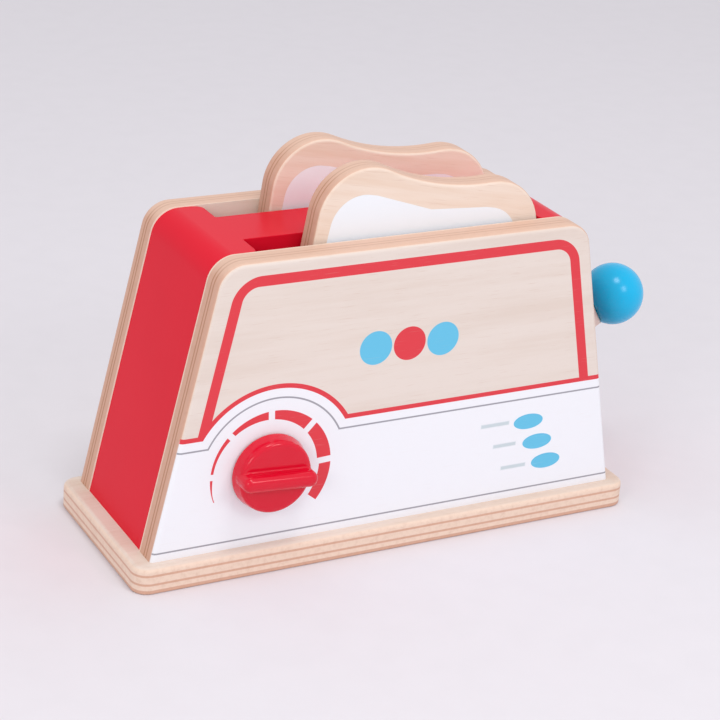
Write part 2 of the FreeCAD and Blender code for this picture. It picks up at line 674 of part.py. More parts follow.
def draw_grip(knob):
    """The grip bar: a round-ended strip right across the dial, a little off level."""
    root = "(Sizes.dial_thickness / 2)"
    grip = new_sketch(knob, "grip", "XY_Plane", root)
    tilt = "(-Sizes.grip_tilt)"
    reach = "((Sizes.grip_length - Sizes.grip_width) / 2)"
    angle = -value("Sizes.grip_tilt")
    radius = value("Sizes.grip_width") / 2
    ends = []
    for side in (-1, 1):
        across = "%d * %s * cos(%s)" % (side, reach, tilt)
        up = "%d * %s * sin(%s)" % (side, reach, tilt)
        start = angle - 90 * side
        end = arc(grip, value(across), value(up), radius, start, start + 180)
        bind_point(grip, end, 3, across, up)
        bind(grip, Sketcher.Constraint("Radius", end, radius), "Sizes.grip_width / 2")
        ends.append(end)
    tail, nose = ends
    for first, second in ((tail, nose), (nose, tail)):
        start = grip.getPoint(first, 2)
        finish = grip.getPoint(second, 1)
        side = grip.addGeometry(Part.LineSegment(start, finish), False)
        tangent(grip, first, 2, side, 1)
        tangent(grip, side, 2, second, 1)
    pad(knob, grip, "grip_pad", "%s + Sizes.grip_height" % root, symmetric=False)
    crest = value("Sizes.dial_thickness + Sizes.grip_height")
    fillet(knob, "grip_edge", "Sizes.grip_edge_radius", lambda edge: lies_at(edge, "z", crest))


# ---------------------------------------------------------------- assembly
FRONT = -1
REAR = 1

panel_dowels = make_panel_dowels()
deck_dowels = make_deck_dowels()
base_screws = make_base_screws()
pivot_pin = make_pivot_pin()
ball_dowel = make_ball_dowel()
dial_screw = make_dial_screw()

NODES = [
    make_base_plate(),
    make_panel("front_panel", FRONT, [panel_dowels, base_screws] + make_dial_holes()),
    make_panel("rear_panel", REAR, [panel_dowels, base_screws]),
    make_end_board("left_end_board", -1, [panel_dowels, deck_dowels]),
    make_end_board("right_end_board", 1, [panel_dowels, deck_dowels]),
    make_top_deck([deck_dowels]),
    make_inner_wall("inner_wall_front", FRONT, pivot_pin),
    make_inner_wall("inner_wall_rear", REAR, pivot_pin),
    panel_dowels,
    deck_dowels,
    base_screws,
    pivot_pin,
    make_pivot_washers(),
    make_lever_arm(ball_dowel),
    make_lever_ball(ball_dowel),
    ball_dowel,
    make_lift_bar(),
    make_toast("toast_front", FRONT, "Sizes.front_toast_lean"),
    make_toast("toast_rear", REAR, "Sizes.rear_toast_lean"),
    make_dial_knob(dial_screw),
    dial_screw,
    make_dial_washer(),
]
doc.recompute()

for item in doc.Objects:
    if "Invalid" in item.State or "Error" in item.State:
        raise RuntimeError("%s did not build: %s" % (item.Label, item.State))
for node in NODES:
    if node.Shape.isNull() or not node.Shape.isValid() or not node.Shape.Solids:
        raise RuntimeError("%s has no valid solid" % node.Label)

os.makedirs("parts", exist_ok=True)
for node in NODES:
    node.Shape.exportStep("parts/%s.step" % node.Label)
    box = node.Shape.BoundBox
    print("%-18s %d solid(s) %9.1f mm3  x %7.2f..%7.2f  y %7.2f..%7.2f  z %7.2f..%7.2f" % (
        node.Label, len(node.Shape.Solids), node.Shape.Volume,
        box.XMin, box.XMax, box.YMin, box.YMax, box.ZMin, box.ZMax))
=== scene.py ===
"""A wooden toy toaster: birch plywood with a printed front, a red lacquered core, two slices of
toast, a lever with a blue ball and a red dial. Lengths in the functions are metres."""

from math import asin, atan, atan2, copysign, cos, hypot, pi, radians, sin, tan

import bmesh
import bpy
from mathutils import Matrix, Quaternion, Vector


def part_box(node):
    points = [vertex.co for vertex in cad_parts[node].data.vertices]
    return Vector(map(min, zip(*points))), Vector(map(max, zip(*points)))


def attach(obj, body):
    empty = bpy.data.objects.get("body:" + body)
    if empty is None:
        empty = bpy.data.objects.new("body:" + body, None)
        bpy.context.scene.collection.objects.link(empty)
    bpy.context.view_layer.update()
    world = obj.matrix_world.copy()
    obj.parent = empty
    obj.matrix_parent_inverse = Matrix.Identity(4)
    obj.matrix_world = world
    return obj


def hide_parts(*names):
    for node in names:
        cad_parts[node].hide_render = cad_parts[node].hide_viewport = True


bl_info = {
    "name": "Toy Toaster",
    "version": (1, 0, 0),
    "blender": (4, 5, 0),
    "location": "View3D > Sidebar > Toy Toaster",
    "description": "Dresses a wooden toy toaster over its construction model",
    "category": "Object",
}

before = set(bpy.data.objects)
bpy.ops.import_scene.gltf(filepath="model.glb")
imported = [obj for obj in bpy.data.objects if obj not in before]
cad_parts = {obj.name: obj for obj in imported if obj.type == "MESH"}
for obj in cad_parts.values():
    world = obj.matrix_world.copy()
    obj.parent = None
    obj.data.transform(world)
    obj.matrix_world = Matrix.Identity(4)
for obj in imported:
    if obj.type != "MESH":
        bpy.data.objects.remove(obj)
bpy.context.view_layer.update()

MM = 0.001

BASE_LOW, BASE_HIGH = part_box("base_plate")
SCREW_LOW, SCREW_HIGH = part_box("base_screws")
PANEL_LOW, PANEL_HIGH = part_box("front_panel")
BOARD_LOW, BOARD_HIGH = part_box("right_end_board")
DECK_LOW, DECK_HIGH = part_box("top_deck")
WALL_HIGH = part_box("inner_wall_rear")[1]
LEVER_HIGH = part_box("lever_arm")[1]
BALL_LOW, BALL_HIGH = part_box("lever_ball")
BAR_LOW, BAR_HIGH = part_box("lift_bar")
TOAST_LOW, TOAST_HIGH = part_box("toast_front")
DIAL_LOW, DIAL_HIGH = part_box("dial_knob")
PIN_LOW, PIN_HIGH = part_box("pivot_pin")


# ---- sizes and colours ----
def length(name, description, millimetres):
    """A length that a user may change, with its default in millimetres."""
    return bpy.props.FloatProperty(name=name, description=description, unit="LENGTH",
                                   subtype="DISTANCE", precision=4, default=millimetres * MM)


def spot(name, description, *millimetres):
    """A place that a user may change: X and height on the front, or X, Y and Z."""
    return bpy.props.FloatVectorProperty(name=name, description=description, unit="LENGTH",
                                         subtype="XYZ_LENGTH", precision=4, size=len(millimetres),
                                         default=[value * MM for value in millimetres])


def angle(name, description, degrees):
    return bpy.props.FloatProperty(name=name, description=description, unit="ROTATION",
                                   subtype="ANGLE", default=radians(degrees))


def colour(name, description, *screen):
    """A colour with its default as screen values from 0 to 255."""
    linear = [value / 255 / 12.92 if value <= 10 else ((value / 255 + 0.055) / 1.055) ** 2.4
              for value in screen]
    return bpy.props.FloatVectorProperty(name=name, description=description, subtype="COLOR",
                                         size=3, min=0, max=1, default=linear)


def number(name, description, default):
    return bpy.props.FloatProperty(name=name, description=description, default=default, min=0)


class ToasterCase(bpy.types.PropertyGroup):
    """Sizes of the boards that make the case."""
    base_corner: length("Base corner", "Radius of the base's upright corners", 7)
    base_top_edge: length("Base top edge", "Rounding round the top of the base", 2.5)
    base_foot_edge: length("Base foot edge", "Rounding round the underside of the base", 1)
    panel_corner: length("Panel corner", "Radius of the panels' top corners", 12)
    panel_edge: length("Panel edge", "Rounding along the panels' outer edges", 2)
    panel_rise: length("Panel rise", "Height of the panels above the base", 127)
    panel_top: length("Panel top", "Length of the panels across the top, before rounding", 171)
    board_edge: length("Board edge", "Small rounding on cut edges of the boards", 0.4)
    board_thickness: length("Board thickness", "Thickness of the sloping end boards", 11.5)
    slot_left: length("Slot's left end", "X of the bread slots' left end", -65.2)
    slot_right: length("Slot's right end", "X of the bread slots' right end", 68.5)
    slot_corner: length("Slot corner", "Radius of the bread slots' corners at the rib", 1)
    slot_mouth: length("Slot mouth", "Radius where a bread slot's end meets the panel", 4)
    slot_lip: length("Slot lip", "Rounding along the top edges of the bread slots", 1.2)
    lever_slot_low: length("Lever slot, low end", "Height of the lever slot's low end", 46.6)
    lever_slot_high: length("Lever slot, high end", "Height of the lever slot's high end", 76.3)
    lever_slot_play: length("Lever slot play", "Room beside the lever in its slot", 1.25)
    screw_head: length("Screw head", "Diameter of the base screws' heads", 8)
    screw_recess: length("Screw recess", "Depth of the base screws below the underside", 0.3)


class ToasterPrint(bpy.types.PropertyGroup):
    """Sizes and places of what is printed on the front panel."""
    belt_height: length("Belt height", "Height of the white band's upper edge", 65.1)
    hump: spot("Hump", "Centre of the round hump in the white band", -58.8, 45.2)
    hump_radius: length("Hump radius", "Radius of the hump", 38.5)
    belt_line: length("Belt line", "Width of the red line along the white band", 2.1)
    fine_line: length("Fine line", "Width of the grey lines", 0.75)
    fine_gap: length("Fine line gap", "From the belt line down to the upper grey line", 5.2)
    low_line: length("Low line height", "Height of the grey line near the foot", 15.7)
    stripe_x: length("Stripe X", "How far the stripe lies off the panel's middle line", 0.5)
    stripe_side: length("Stripe side", "From the panel's sloping sides to the red stripe", 6.8)
    stripe_top: length("Stripe top", "From the panel's top to the red stripe", 5.8)
    stripe_width: length("Stripe width", "Width of the red stripe", 4.6)
    stripe_corner: length("Stripe corner", "Radius of the stripe's outer corners", 10.5)
    dots: spot("Dots", "Centre of the middle dot", 1.7, 94.6)
    dot_radius: length("Dot radius", "Radius of the three dots", 7.6)
    dot_spacing: length("Dot spacing", "Distance between neighbouring dots", 16)
    scale: spot("Scale", "Centre of the dial's scale", -59.6, 45.3)
    scale_radius: length("Scale radius", "Outer radius of the dial's scale", 27.6)
    scale_hollow: length("Scale hollow", "Radius of the circle that hollows the scale", 23.8)
    scale_shift: length("Scale shift", "How far the hollow lies to the left of the scale", 2.6)
    scale_gap: length("Scale gap", "Width of the gaps in the scale", 2.8)
    badge_length: length("Badge length", "Length of the three blue badges", 15)
    badge_height: length("Badge height", "Height of the three blue badges", 7.3)
    dash_height: length("Dash height", "Height of the dashes beside the badges", 1.7)


class ToasterToast(bpy.types.PropertyGroup):
    """Sizes of the two slices."""
    height: length("Height", "From foot to crown", 120.5)
    foot_length: length("Foot length", "Length across the foot", 100)
    foot_radius: length("Foot radius", "Radius of the lower corners", 9)
    edge: length("Edge", "Rounding of the edges", 1.5)
    lobe_spacing: length("Lobe spacing", "Distance between the two lobes' centres", 62)
    lobe_radius: length("Lobe radius", "Radius of the two lobes", 22.8)
    crown_dip: length("Crown dip", "Depth of the dip between the lobes", 3.9)
    front_lean: angle("Front lean", "How far the front slice leans on the end of its slot", 11)
    rear_lean: angle("Rear lean", "How far the rear slice leans on the end of its slot", 9)
    crumb_x: length("Crumb X", "How far the white area lies off the slice's middle line", -1.8)
    crumb_width: length("Crumb width", "Width of the white area", 91)
    crumb_height: length("Crumb height", "From the foot to the white area's crests", 108.6)
    crumb_radius: length("Crumb radius", "Radius of the white area's shoulders", 15)
    cusp_depth: length("Cusp depth", "Depth of the cusp between the two crests", 3.5)
    cusp_run: length("Cusp run", "From the cusp to the crest on either side", 27)


class ToasterLever(bpy.types.PropertyGroup):
    """Sizes of the lever, the ball and the crossbar."""
    depth: length("Depth", "Depth of the lever's arms", 13.5)
    edge: length("Edge", "Rounding of the lever's edges", 1.2)
    hub: length("Hub", "Diameter of the lever round its pivot", 22)
    boss: length("Boss", "Diameter of the lever round the crossbar", 19)
    outer_slope: angle("Outer slope", "How steeply the outer arm rises", 29.5)
    inner_slope: angle("Inner slope", "How steeply the inner arm falls", 12)
    ball_reach: length("Ball reach", "From the pivot to the centre of the ball", 65)
    ball_flat: length("Ball flat", "From the centre of the ball to its flat", 12.3)
    bar_reach: length("Bar reach", "From the pivot to the crossbar", 74.6)
    bar_chamfer: length("Bar chamfer", "Bevel at the crossbar's ends", 0.8)


class ToasterDial(bpy.types.PropertyGroup):
    """Sizes of the dial."""
    centre: spot("Dial centre", "Centre of the dial on the front", -60.7, 45.9)
    radius: length("Radius", "Radius of the dial at its back", 17.2)
    taper: length("Taper", "How much smaller the radius is at the front", 0.9)
    thickness: length("Thickness", "Thickness of the dial without its grip", 7.4)
    edge: length("Edge", "Rounding of the front rim", 2)
    grip_length: length("Grip length", "Length of the grip bar", 34)
    grip_width: length("Grip width", "Width of the grip bar", 7)
    grip_edge: length("Grip edge", "Rounding along the grip bar", 2.8)
    grip_tilt: angle("Grip tilt", "How far the grip bar's nose points below level", 3.5)


class ToasterColours(bpy.types.PropertyGroup):
    """Colours of the wood, the print and the lacquers."""
    birch: colour("Birch face", "Face of the plywood", 231, 218, 210)
    birch_streak: colour("Birch streak", "Darker streaks in the face", 225, 209, 199)
    base_face: colour("Base face", "Top and underside of the base", 230, 213, 202)
    base_streak: colour("Base streak", "Darker streaks in the base", 221, 199, 184)
    # painted light: the plain panel's birch is lighter than the front's, to brighten its inner
    # face, which lies in shade
    rear_face_painted_light: colour("Rear panel face", "Faces of the plain panel", 247, 232, 220)
    rear_streak_painted_light: colour("Rear panel streak", "Darker streaks in the plain panel", 239, 222, 208)
    ply_light: colour("Light ply", "Plies cut along their grain", 238, 212, 194)
    ply_tan: colour("Tan ply", "Plies that are a little darker", 216, 171, 149)
    ply_dark: colour("Dark ply", "Plies cut across their grain", 186, 134, 106)
    crust: colour("Crust", "Face of a slice round its white area", 240, 221, 207)
    crust_streak: colour("Crust streak", "Darker streaks in the crust", 231, 204, 184)
    white: colour("White print", "White area on the front", 242, 242, 248)
    crumb: colour("Slice white", "White area on the slices", 240, 244, 251)
    print_red: colour("Printed red", "Stripe, belt line, middle dot and scale", 224, 64, 74)
    print_blue: colour("Printed blue", "Outer dots and badges", 104, 194, 230)
    print_grey: colour("Printed grey", "Fine lines", 160, 158, 167)
    dash: colour("Dashes", "Dashes beside the badges", 203, 214, 220)
    red: colour("Red lacquer", "End boards and deck", 226, 16, 44)
    # painted shade: the walls inside the bread slots get a darker copy of the deck's red
    slot_red_painted_shade: colour("Inner red, painted shade", "Walls inside the bread slots", 205, 24, 40)
    dial_red: colour("Dial red", "Lacquer of the dial", 218, 4, 42)
    blue: colour("Blue lacquer", "Lacquer of the ball", 6, 184, 236)
    beech: colour("Dowel wood", "Dowels, pin and crossbar", 222, 188, 150)
    steel: colour("Screw steel", "Plated screws", 190, 188, 182)
    fibre: colour("Washer fibre", "Washers", 92, 70, 52)


class ToasterStage(bpy.types.PropertyGroup):
    """Floor, light and camera."""
    floor: colour("Floor", "Colour of the floor and the backdrop", 229, 225, 232)
    floor_reach: length("Floor reach", "Half-length of the floor", 6000)
    daylight: number("Daylight", "Strength of the even light from all round", 0.76)
    key_power: number("Key lamp", "Power of the lamp in front, in watts", 2.12)
    key_side: length("Key size", "Side of the square lamp in front", 340)
    side_power: number("Side lamp", "Power of the lamp to the left, in watts", 2.7)
    side_side: length("Side size", "Side of the square lamp to the left", 420)
    top_power: number("Top lamp", "Power of the lamp overhead, in watts", 5.1)
    top_side: length("Top size", "Side of the square lamp overhead", 450)
    lens: number("Lens", "Focal length in millimetres on a 36 mm wide frame", 108)
    camera: spot("Camera", "Where the camera stands", -424.334, -752.472, 446.472)
    aim: spot("Aim", "The point that the camera looks at", 1.1, 0, 70.2)
    roll: angle("Roll", "Turn of the camera about its own line of sight", 4.43)


GROUPS = {
    "toaster_case": ToasterCase,
    "toaster_print": ToasterPrint,
    "toaster_toast": ToasterToast,
    "toaster_lever": ToasterLever,
    "toaster_dial": ToasterDial,
    "toaster_colours": ToasterColours,
    "toaster_stage": ToasterStage,
}


def settings(context, *names):
    """The toaster's groups of settings, by their short names."""
    return [getattr(context.scene, "toaster_" + name) for name in names]


# ---- plane outlines ----
ARC_STEPS = 10
EDGE_STEPS = 4
PARALLEL = 1e-5
QUARTER = pi / 2


def arc(centre, radius, start, end, steps=ARC_STEPS):
    """Points along an arc, from one angle to another in radians."""
    turns = [start + (end - start) * step / steps for step in range(steps + 1)]
    return [(centre[0] + radius * cos(turn), centre[1] + radius * sin(turn)) for turn in turns]


def rectangle(left, low, right, high):
    return [(left, low), (right, low), (right, high), (left, high)]


def rounded(corners, radii):
    """Closed anticlockwise outline through corners, each with its own radius."""
    outline = []
    corners = [Vector(corner) for corner in corners]
    for i, (corner, radius) in enumerate(zip(corners, radii)):
        if radius == 0:
            outline.append(tuple(corner))
            continue
        back = (corners[i - 1] - corner).normalized()
        onward = (corners[(i + 1) % len(corners)] - corner).normalized()
        half = back.angle(onward) / 2
        centre = corner + (back + onward).normalized() * radius / sin(half)
        spoke = corner + back * radius / tan(half) - centre
        start = atan2(spoke.y, spoke.x)
        sweep = copysign(pi - 2 * half, onward.cross(back))
        outline += arc(centre, radius, start, start + sweep)
    return outline


def inset(outline, depth, keep_foot=False):
    """The outline with each side moved inwards. A foot that is kept stays at its height."""
    foot = min(up for across, up in outline)
    points = [Vector(point) for point in outline]
    narrower = []
    for i, point in enumerate(points):
        rows = []
        for first, second in ((points[i - 1], point), (point, points[(i + 1) % len(points)])):
            side = (second - first).normalized()
            on_foot = keep_foot and max(first.y, second.y) < foot + PARALLEL
            rows.append((Vector((-side.y, side.x)), 0 if on_foot else depth))
        (normal, reach), (next_normal, next_reach) = rows
        turn = normal.cross(next_normal)
        if abs(turn) < PARALLEL:
            shift = normal * reach
        else:
            shift = Vector((reach * next_normal.y - next_reach * normal.y,
                            next_reach * normal.x - reach * next_normal.x)) / turn
        narrower.append(tuple(point + shift))
    return narrower


def rounding(edge):
    """How far inwards and how far along a rounded edge runs, from the face to the side."""
    turns = [QUARTER * step / EDGE_STEPS for step in range(EDGE_STEPS + 1)] if edge else [QUARTER]
    return [(edge * (1 - sin(turn)), edge * (1 - cos(turn))) for turn in turns]


def slab(outline, low, high, low_edge=0, high_edge=0, keep_foot=False):
    """Rings of (across, up, depth) for a board, with its edges rounded at either face."""
    rings = []
    for face, edge, inward in ((low, low_edge, 1), (high, high_edge, -1)):
        stack = []
        for narrowing, run in rounding(edge):
            ring = inset(outline, narrowing, keep_foot) if edge else outline
            stack.append([(across, up, face + inward * run) for across, up in ring])
        rings += stack if inward > 0 else reversed(stack)
    return rings


# ---- meshes ----
def along_x(across, up, depth):
    return depth, across, up


def along_y(across, up, depth):
    return across, depth, up


def along_z(across, up, depth):
    return across, up, depth


def skin(rings, place=along_z):
    """A closed mesh over rings of points. A ring of one point is a tip."""
    mesh = bmesh.new()
    loops = [[mesh.verts.new(place(*point)) for point in ring] for ring in rings]
    for lower, upper in zip(loops, loops[1:]):
        for i in range(max(len(lower), len(upper))):
            below = lower if len(lower) == 1 else [lower[i - 1], lower[i]]
            above = upper if len(upper) == 1 else [upper[i], upper[i - 1]]
            mesh.faces.new(below + above)
    for loop in (loops[0], loops[-1]):
        if len(loop) > 1:
            mesh.faces.new(loop)
    bmesh.ops.recalc_face_normals(mesh, faces=mesh.faces)
    return mesh


def turned(profile, sides):
    """A closed mesh turned about Z from (radius, height) pairs. A radius of 0 is a tip."""
    turns = [2 * pi * side / sides for side in range(sides)]
    return skin([[(radius * cos(turn), radius * sin(turn), height) for turn in turns]
                 if radius else [(0, 0, height)] for radius, height in profile])


def stand(place, turn, axis="Y"):
    """A place in the frame, with a turn about one axis."""
    return Matrix.Translation(place) @ Matrix.Rotation(turn, 4, axis)


def moved(mesh, place, turn=0, axis="Z"):
    """The mesh turned about an axis, and then set down at a place."""
    mesh.transform(stand(place, turn, axis))
    return mesh


def as_object(mesh, name):
    """A plain object that holds the mesh."""
    data = bpy.data.meshes.new(name)
    mesh.to_mesh(data)
    mesh.free()
    piece = bpy.data.objects.new(name, data)
    bpy.context.scene.collection.objects.link(piece)
    return piece


def discard(piece):
    data = piece.data
    bpy.data.objects.remove(piece)
    bpy.data.meshes.remove(data)


def after_modifiers(piece):
    """The mesh that the object's modifiers give; the object itself is thrown away."""
    graph = bpy.context.evaluated_depsgraph_get()
    result = bmesh.new()
    result.from_mesh(piece.evaluated_get(graph).to_mesh())
    discard(piece)
    return result


def combine(mesh, tool, operation="DIFFERENCE"):
    """One mesh from two: DIFFERENCE carves the tool out, UNION joins it on."""
    piece = as_object(mesh, "work")
    other = as_object(tool, "tool")
    modifier = piece.modifiers.new("combine", "BOOLEAN")
    modifier.operation = operation
    modifier.solver = "EXACT"
    modifier.object = other
    result = after_modifiers(piece)
    discard(other)
    return result


def gathered(meshes):
    """One mesh that holds several separate ones."""
    whole = bmesh.new()
    for mesh in meshes:
        piece = as_object(mesh, "part")
        whole.from_mesh(piece.data)
        discard(piece)
    return whole


SHARP = radians(40)


def round_edges(mesh, radius, wanted, steps=3):
    """Rounds the sharp edges that the test picks from the places of their two ends."""
    edges = [edge for edge in mesh.edges
             if len(edge.link_faces) == 2 and edge.calc_face_angle() > SHARP
             and wanted(*(vert.co for vert in edge.verts))]
    bmesh.ops.bevel(mesh, geom=edges, offset=radius, segments=steps, profile=0.5,
                    affect="EDGES", clamp_overlap=True)
    return mesh


def set_up(name, mesh, finish, body, node, place=None):
    """Makes a piece of the toaster: shaded, in place, and riding with its body."""
    piece = as_object(mesh, name)
    for face in piece.data.polygons:
        face.use_smooth = True
    piece.data.set_sharp_from_angle(angle=SHARP)
    shading = piece.modifiers.new("even shading", "WEIGHTED_NORMAL")
    shading.keep_sharp = True
    piece.data.materials.append(finish)
    if place:
        piece.matrix_world = place
        bpy.context.view_layer.update()
    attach(piece, body)
    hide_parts(node)


def repaint(node, finish):
    """Gives a construction solid that stays on view a better finish."""
    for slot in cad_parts[node].material_slots:
        slot.material = finish


# ---- fields and nodes ----
class Field:
    """A value that changes over a surface. Sums done with it add nodes to its tree."""

    def __init__(self, nodes, socket):
        self.nodes = nodes
        self.socket = socket

    def __add__(self, other):
        return self.nodes.math("ADD", self, other)

    def __sub__(self, other):
        return self.nodes.math("SUBTRACT", self, other)

    def __rsub__(self, other):
        return self.nodes.math("SUBTRACT", other, self)

    def __mul__(self, other):
        return self.nodes.math("MULTIPLY", self, other)

    def __truediv__(self, other):
        return self.nodes.math("DIVIDE", self, other)

    def __abs__(self):
        return self.nodes.math("ABSOLUTE", self)

    def fade(self, start, end):
        """0 at the start and 1 at the end, smooth between them."""
        return self.nodes.add("ShaderNodeMapRange", enumerate((self, start, end, 0.0, 1.0)),
                              interpolation_type="SMOOTHSTEP")

    def within(self, blur=0.1 * MM):
        """1 where a signed distance is below 0, with a fine soft edge."""
        return self.fade(blur, -blur)


class Nodes:
    """A tree of shader nodes, with short ways to add to it."""

    def __init__(self, tree):
        self.tree = tree

    def put(self, socket, value):
        """Joins a socket to a field, or gives it a plain value."""
        if isinstance(value, Field):
            self.tree.links.new(value.socket, socket)
        elif socket.type == "RGBA":
            socket.default_value = (*value, 1)
        else:
            socket.default_value = value

    def add(self, kind, inputs=(), output=0, **choices):
        """Adds a node with its choices and its inputs, and gives one of its outputs."""
        node = self.tree.nodes.new(kind)
        for choice, value in choices.items():
            setattr(node, choice, value)
        for key, value in dict(inputs).items():
            self.put(node.inputs[key], value)
        return Field(self, node.outputs[output])

    def math(self, operation, *values):
        return self.add("ShaderNodeMath", enumerate(values), operation=operation)


def least(first, *others):
    """The smallest of several fields."""
    for other in others:
        first = first.nodes.math("MINIMUM", first, other)
    return first


def most(first, *others):
    """The largest of several fields."""
    for other in others:
        first = first.nodes.math("MAXIMUM", first, other)
    return first


def distance(across, up, centre=(0, 0)):
    """Distance in the plane from a centre."""
    offset = across - centre[0], up - centre[1]
    vector = across.nodes.add("ShaderNodeCombineXYZ", enumerate(offset))
    return across.nodes.add("ShaderNodeVectorMath", {0: vector}, "Value", operation="LENGTH")


# ---- finishes ----
class Finish(Nodes):
    """A material in the making."""

    def __init__(self, name, roughness, shine=0.5):
        self.material = bpy.data.materials.new(name)
        self.material.use_nodes = True
        super().__init__(self.material.node_tree)
        self.surface = self.tree.nodes["Principled BSDF"]
        self.give("Roughness", roughness)
        self.give("Specular IOR Level", shine)
        self.place = self.add("ShaderNodeTexCoord", output="Object")

    def give(self, name, value):
        """Sets one quality of the surface, such as its roughness."""
        self.put(self.surface.inputs[name], value)

    def axes(self, vector=None):
        """The X, Y and Z parts of a vector, which is the place on the piece if none is given."""
        return [self.add("ShaderNodeSeparateXYZ", {0: vector or self.place}, axis)
                for axis in range(3)]

    def blend(self, share, first, second):
        return self.add("ShaderNodeMix", {0: share, 6: first, 7: second}, 2, data_type="RGBA")

    def noise(self, scale, detail=2.0, rough=0.5):
        """Noise whose scale along X, Y and Z is in cycles a metre."""
        place = self.add("ShaderNodeVectorMath", {0: self.place, 1: scale}, operation="MULTIPLY")
        return self.add("ShaderNodeTexNoise", {"Vector": place, "Scale": 1.0, "Detail": detail,
                                               "Roughness": rough})

    def bump(self, height, depth, strength):
        """Relief from a field, with its depth in metres."""
        self.give("Normal", self.add("ShaderNodeBump", {"Height": height, "Distance": depth,
                                                        "Strength": strength}))


Y, Z = 1, 2

# patterns of the wood in cycles a metre
ALONG_GRAIN, ACROSS_GRAIN, THROUGH_GRAIN = 22, 330, 180
FIGURE = (6, 70, 70)
PORES = (90, 2100, 2100)
CLOUDS = (9, 16, 16)
END_FLECKS = (380, 380, 380)

# where each pattern, and each way that a surface may face, starts and ends to show
EDGE_FADE = (0.9, 0.6)
UPWARD_LIGHT_FADE = (0.4, 0.9)
STREAK_FADE = (0.4, 0.68)
PORE_FADE = (0.64, 0.74)
FLECK_FADE = (0.4, 0.75)

GRAIN_SHARE, FIGURE_SHARE, CLOUD_SHARE = 0.35, 0.65, 0.5
PORE_DARKNESS, PORE_DEPTH = 0.16, 0.6
FLECK_DARKNESS = 0.22
# painted highlight: how far edges that face up are blended towards the light ply colour
UPWARD_PAINTED_LIGHT = 0.4
PLY_BLUR, PLY_WANDER = 0.03, 0.035
WOOD_ROUGHNESS, WOOD_SHINE = 0.5, 0.25
WOOD_RELIEF, WOOD_BUMP = 0.05 * MM, 0.4


class Plywood(Finish):
    """Birch plywood with its grain along X.

    Faces show the outer ply and its grain. Edges show the plies, which are listed from the low
    face up as (share of the thickness, tone).
    """

    def __init__(self, name, axis, low, high, plies, colours, face=None, streak=None):
        super().__init__(name, WOOD_ROUGHNESS, WOOD_SHINE)
        grain = [ALONG_GRAIN, ACROSS_GRAIN, ACROSS_GRAIN]
        grain[axis] = THROUGH_GRAIN
        self.fibres = self.noise(grain, 5.0, 0.62)
        self.figure = self.noise(FIGURE, 4.0, 0.6)
        self.pores = self.noise(PORES, 1.0).fade(*PORE_FADE)
        normal = self.axes(self.add("ShaderNodeTexCoord", output="Normal"))
        self.facing = abs(normal[axis])
        on_edge = self.facing.fade(*EDGE_FADE)
        depth = (self.axes()[axis] - low) / (high - low)
        face = self.face_colour(colours, face or colours.birch, streak or colours.birch_streak)
        self.wood = self.blend(on_edge, face, self.edge_colour(depth, normal[Z], plies, colours))
        self.give("Base Color", self.wood)
        self.bump(self.fibres + self.pores * -PORE_DEPTH, WOOD_RELIEF, WOOD_BUMP)

    def face_colour(self, colours, face, streak):
        """The outer ply: its streaks, a cloudy change of shade and dark pores."""
        streaks = self.fibres * GRAIN_SHARE + self.figure * FIGURE_SHARE
        cloud = (self.noise(CLOUDS) - 0.5) * CLOUD_SHARE
        surface = self.blend(streaks.fade(*STREAK_FADE) + cloud, face, streak)
        return self.blend(self.pores * PORE_DARKNESS, surface, colours.ply_dark)

    def edge_colour(self, depth, upward, plies, colours):
        """The plies through the thickness, with their end grain, and a painted highlight that
        makes them paler where they face up.
        """
        tones = {"light": colours.ply_light, "tan": colours.ply_tan, "dark": colours.ply_dark}
        depth += (self.figure - 0.5) * PLY_WANDER
        layers = self.add("ShaderNodeValToRGB", {0: depth})
        stops = layers.socket.node.color_ramp.elements
        whole = sum(share for share, tone in plies)
        start = 0.0
        for share, tone in plies:
            end = start + share / whole
            blur = min(PLY_BLUR, (end - start) / 3)
            for place in (start + blur / 2, end - blur / 2):
                stops.new(place).color = (*tones[tone], 1)
            start = end
        stops.remove(stops[0])
        stops.remove(stops[-1])
        fleck = self.noise(END_FLECKS, 4.0, 0.7).fade(*FLECK_FADE)
        grain = self.blend(fleck * FLECK_DARKNESS, layers, colours.ply_dark)
        # painted highlight: edges that face up are made paler, as if lit from above
        return self.blend(upward.fade(*UPWARD_LIGHT_FADE) * UPWARD_PAINTED_LIGHT, grain, colours.ply_light)


PAINT_GRAIN = (40, 240, 240)
PAINT_CLOUDS = (14, 14, 14)
ORANGE_PEEL = (420, 420, 420)
CLOUD_FADE = (0.3, 0.75)
ROUGHNESS_SWING = 0.1


def shaded(colour, strength):
    """The colour made darker, or lighter by a strength above 1."""
    return [channel * strength for channel in colour]


def lacquer(name, colour, roughness, shine, deepest=0.1):
    """Gloss paint over wood: a little orange peel, and faint grain below."""
    finish = Finish(name, roughness, shine)
    grain = finish.noise(PAINT_GRAIN, 3.0, 0.55)
    cloud = finish.noise(PAINT_CLOUDS)
    peel = finish.noise(ORANGE_PEEL, 1.0)
    share = cloud.fade(*CLOUD_FADE) * deepest
    finish.give("Base Color", finish.blend(share, colour, shaded(colour, 0.72)))
    finish.give("Roughness", cloud * ROUGHNESS_SWING + (roughness - ROUGHNESS_SWING / 2))
    finish.bump(grain * 0.6 + peel * 0.4, WOOD_RELIEF, 0.35)
    return finish.material


def grained(name, roughness, scale, detail, rough, pale, deep, strength):
    """A matt finish whose two tones and fine relief follow one grain."""
    finish = Finish(name, roughness)
    grain = finish.noise(scale, detail, rough)
    finish.give("Base Color", finish.blend(grain.fade(0.35, 0.7), pale, deep))
    finish.bump(grain, 0.1 * MM, strength)
    return finish.material


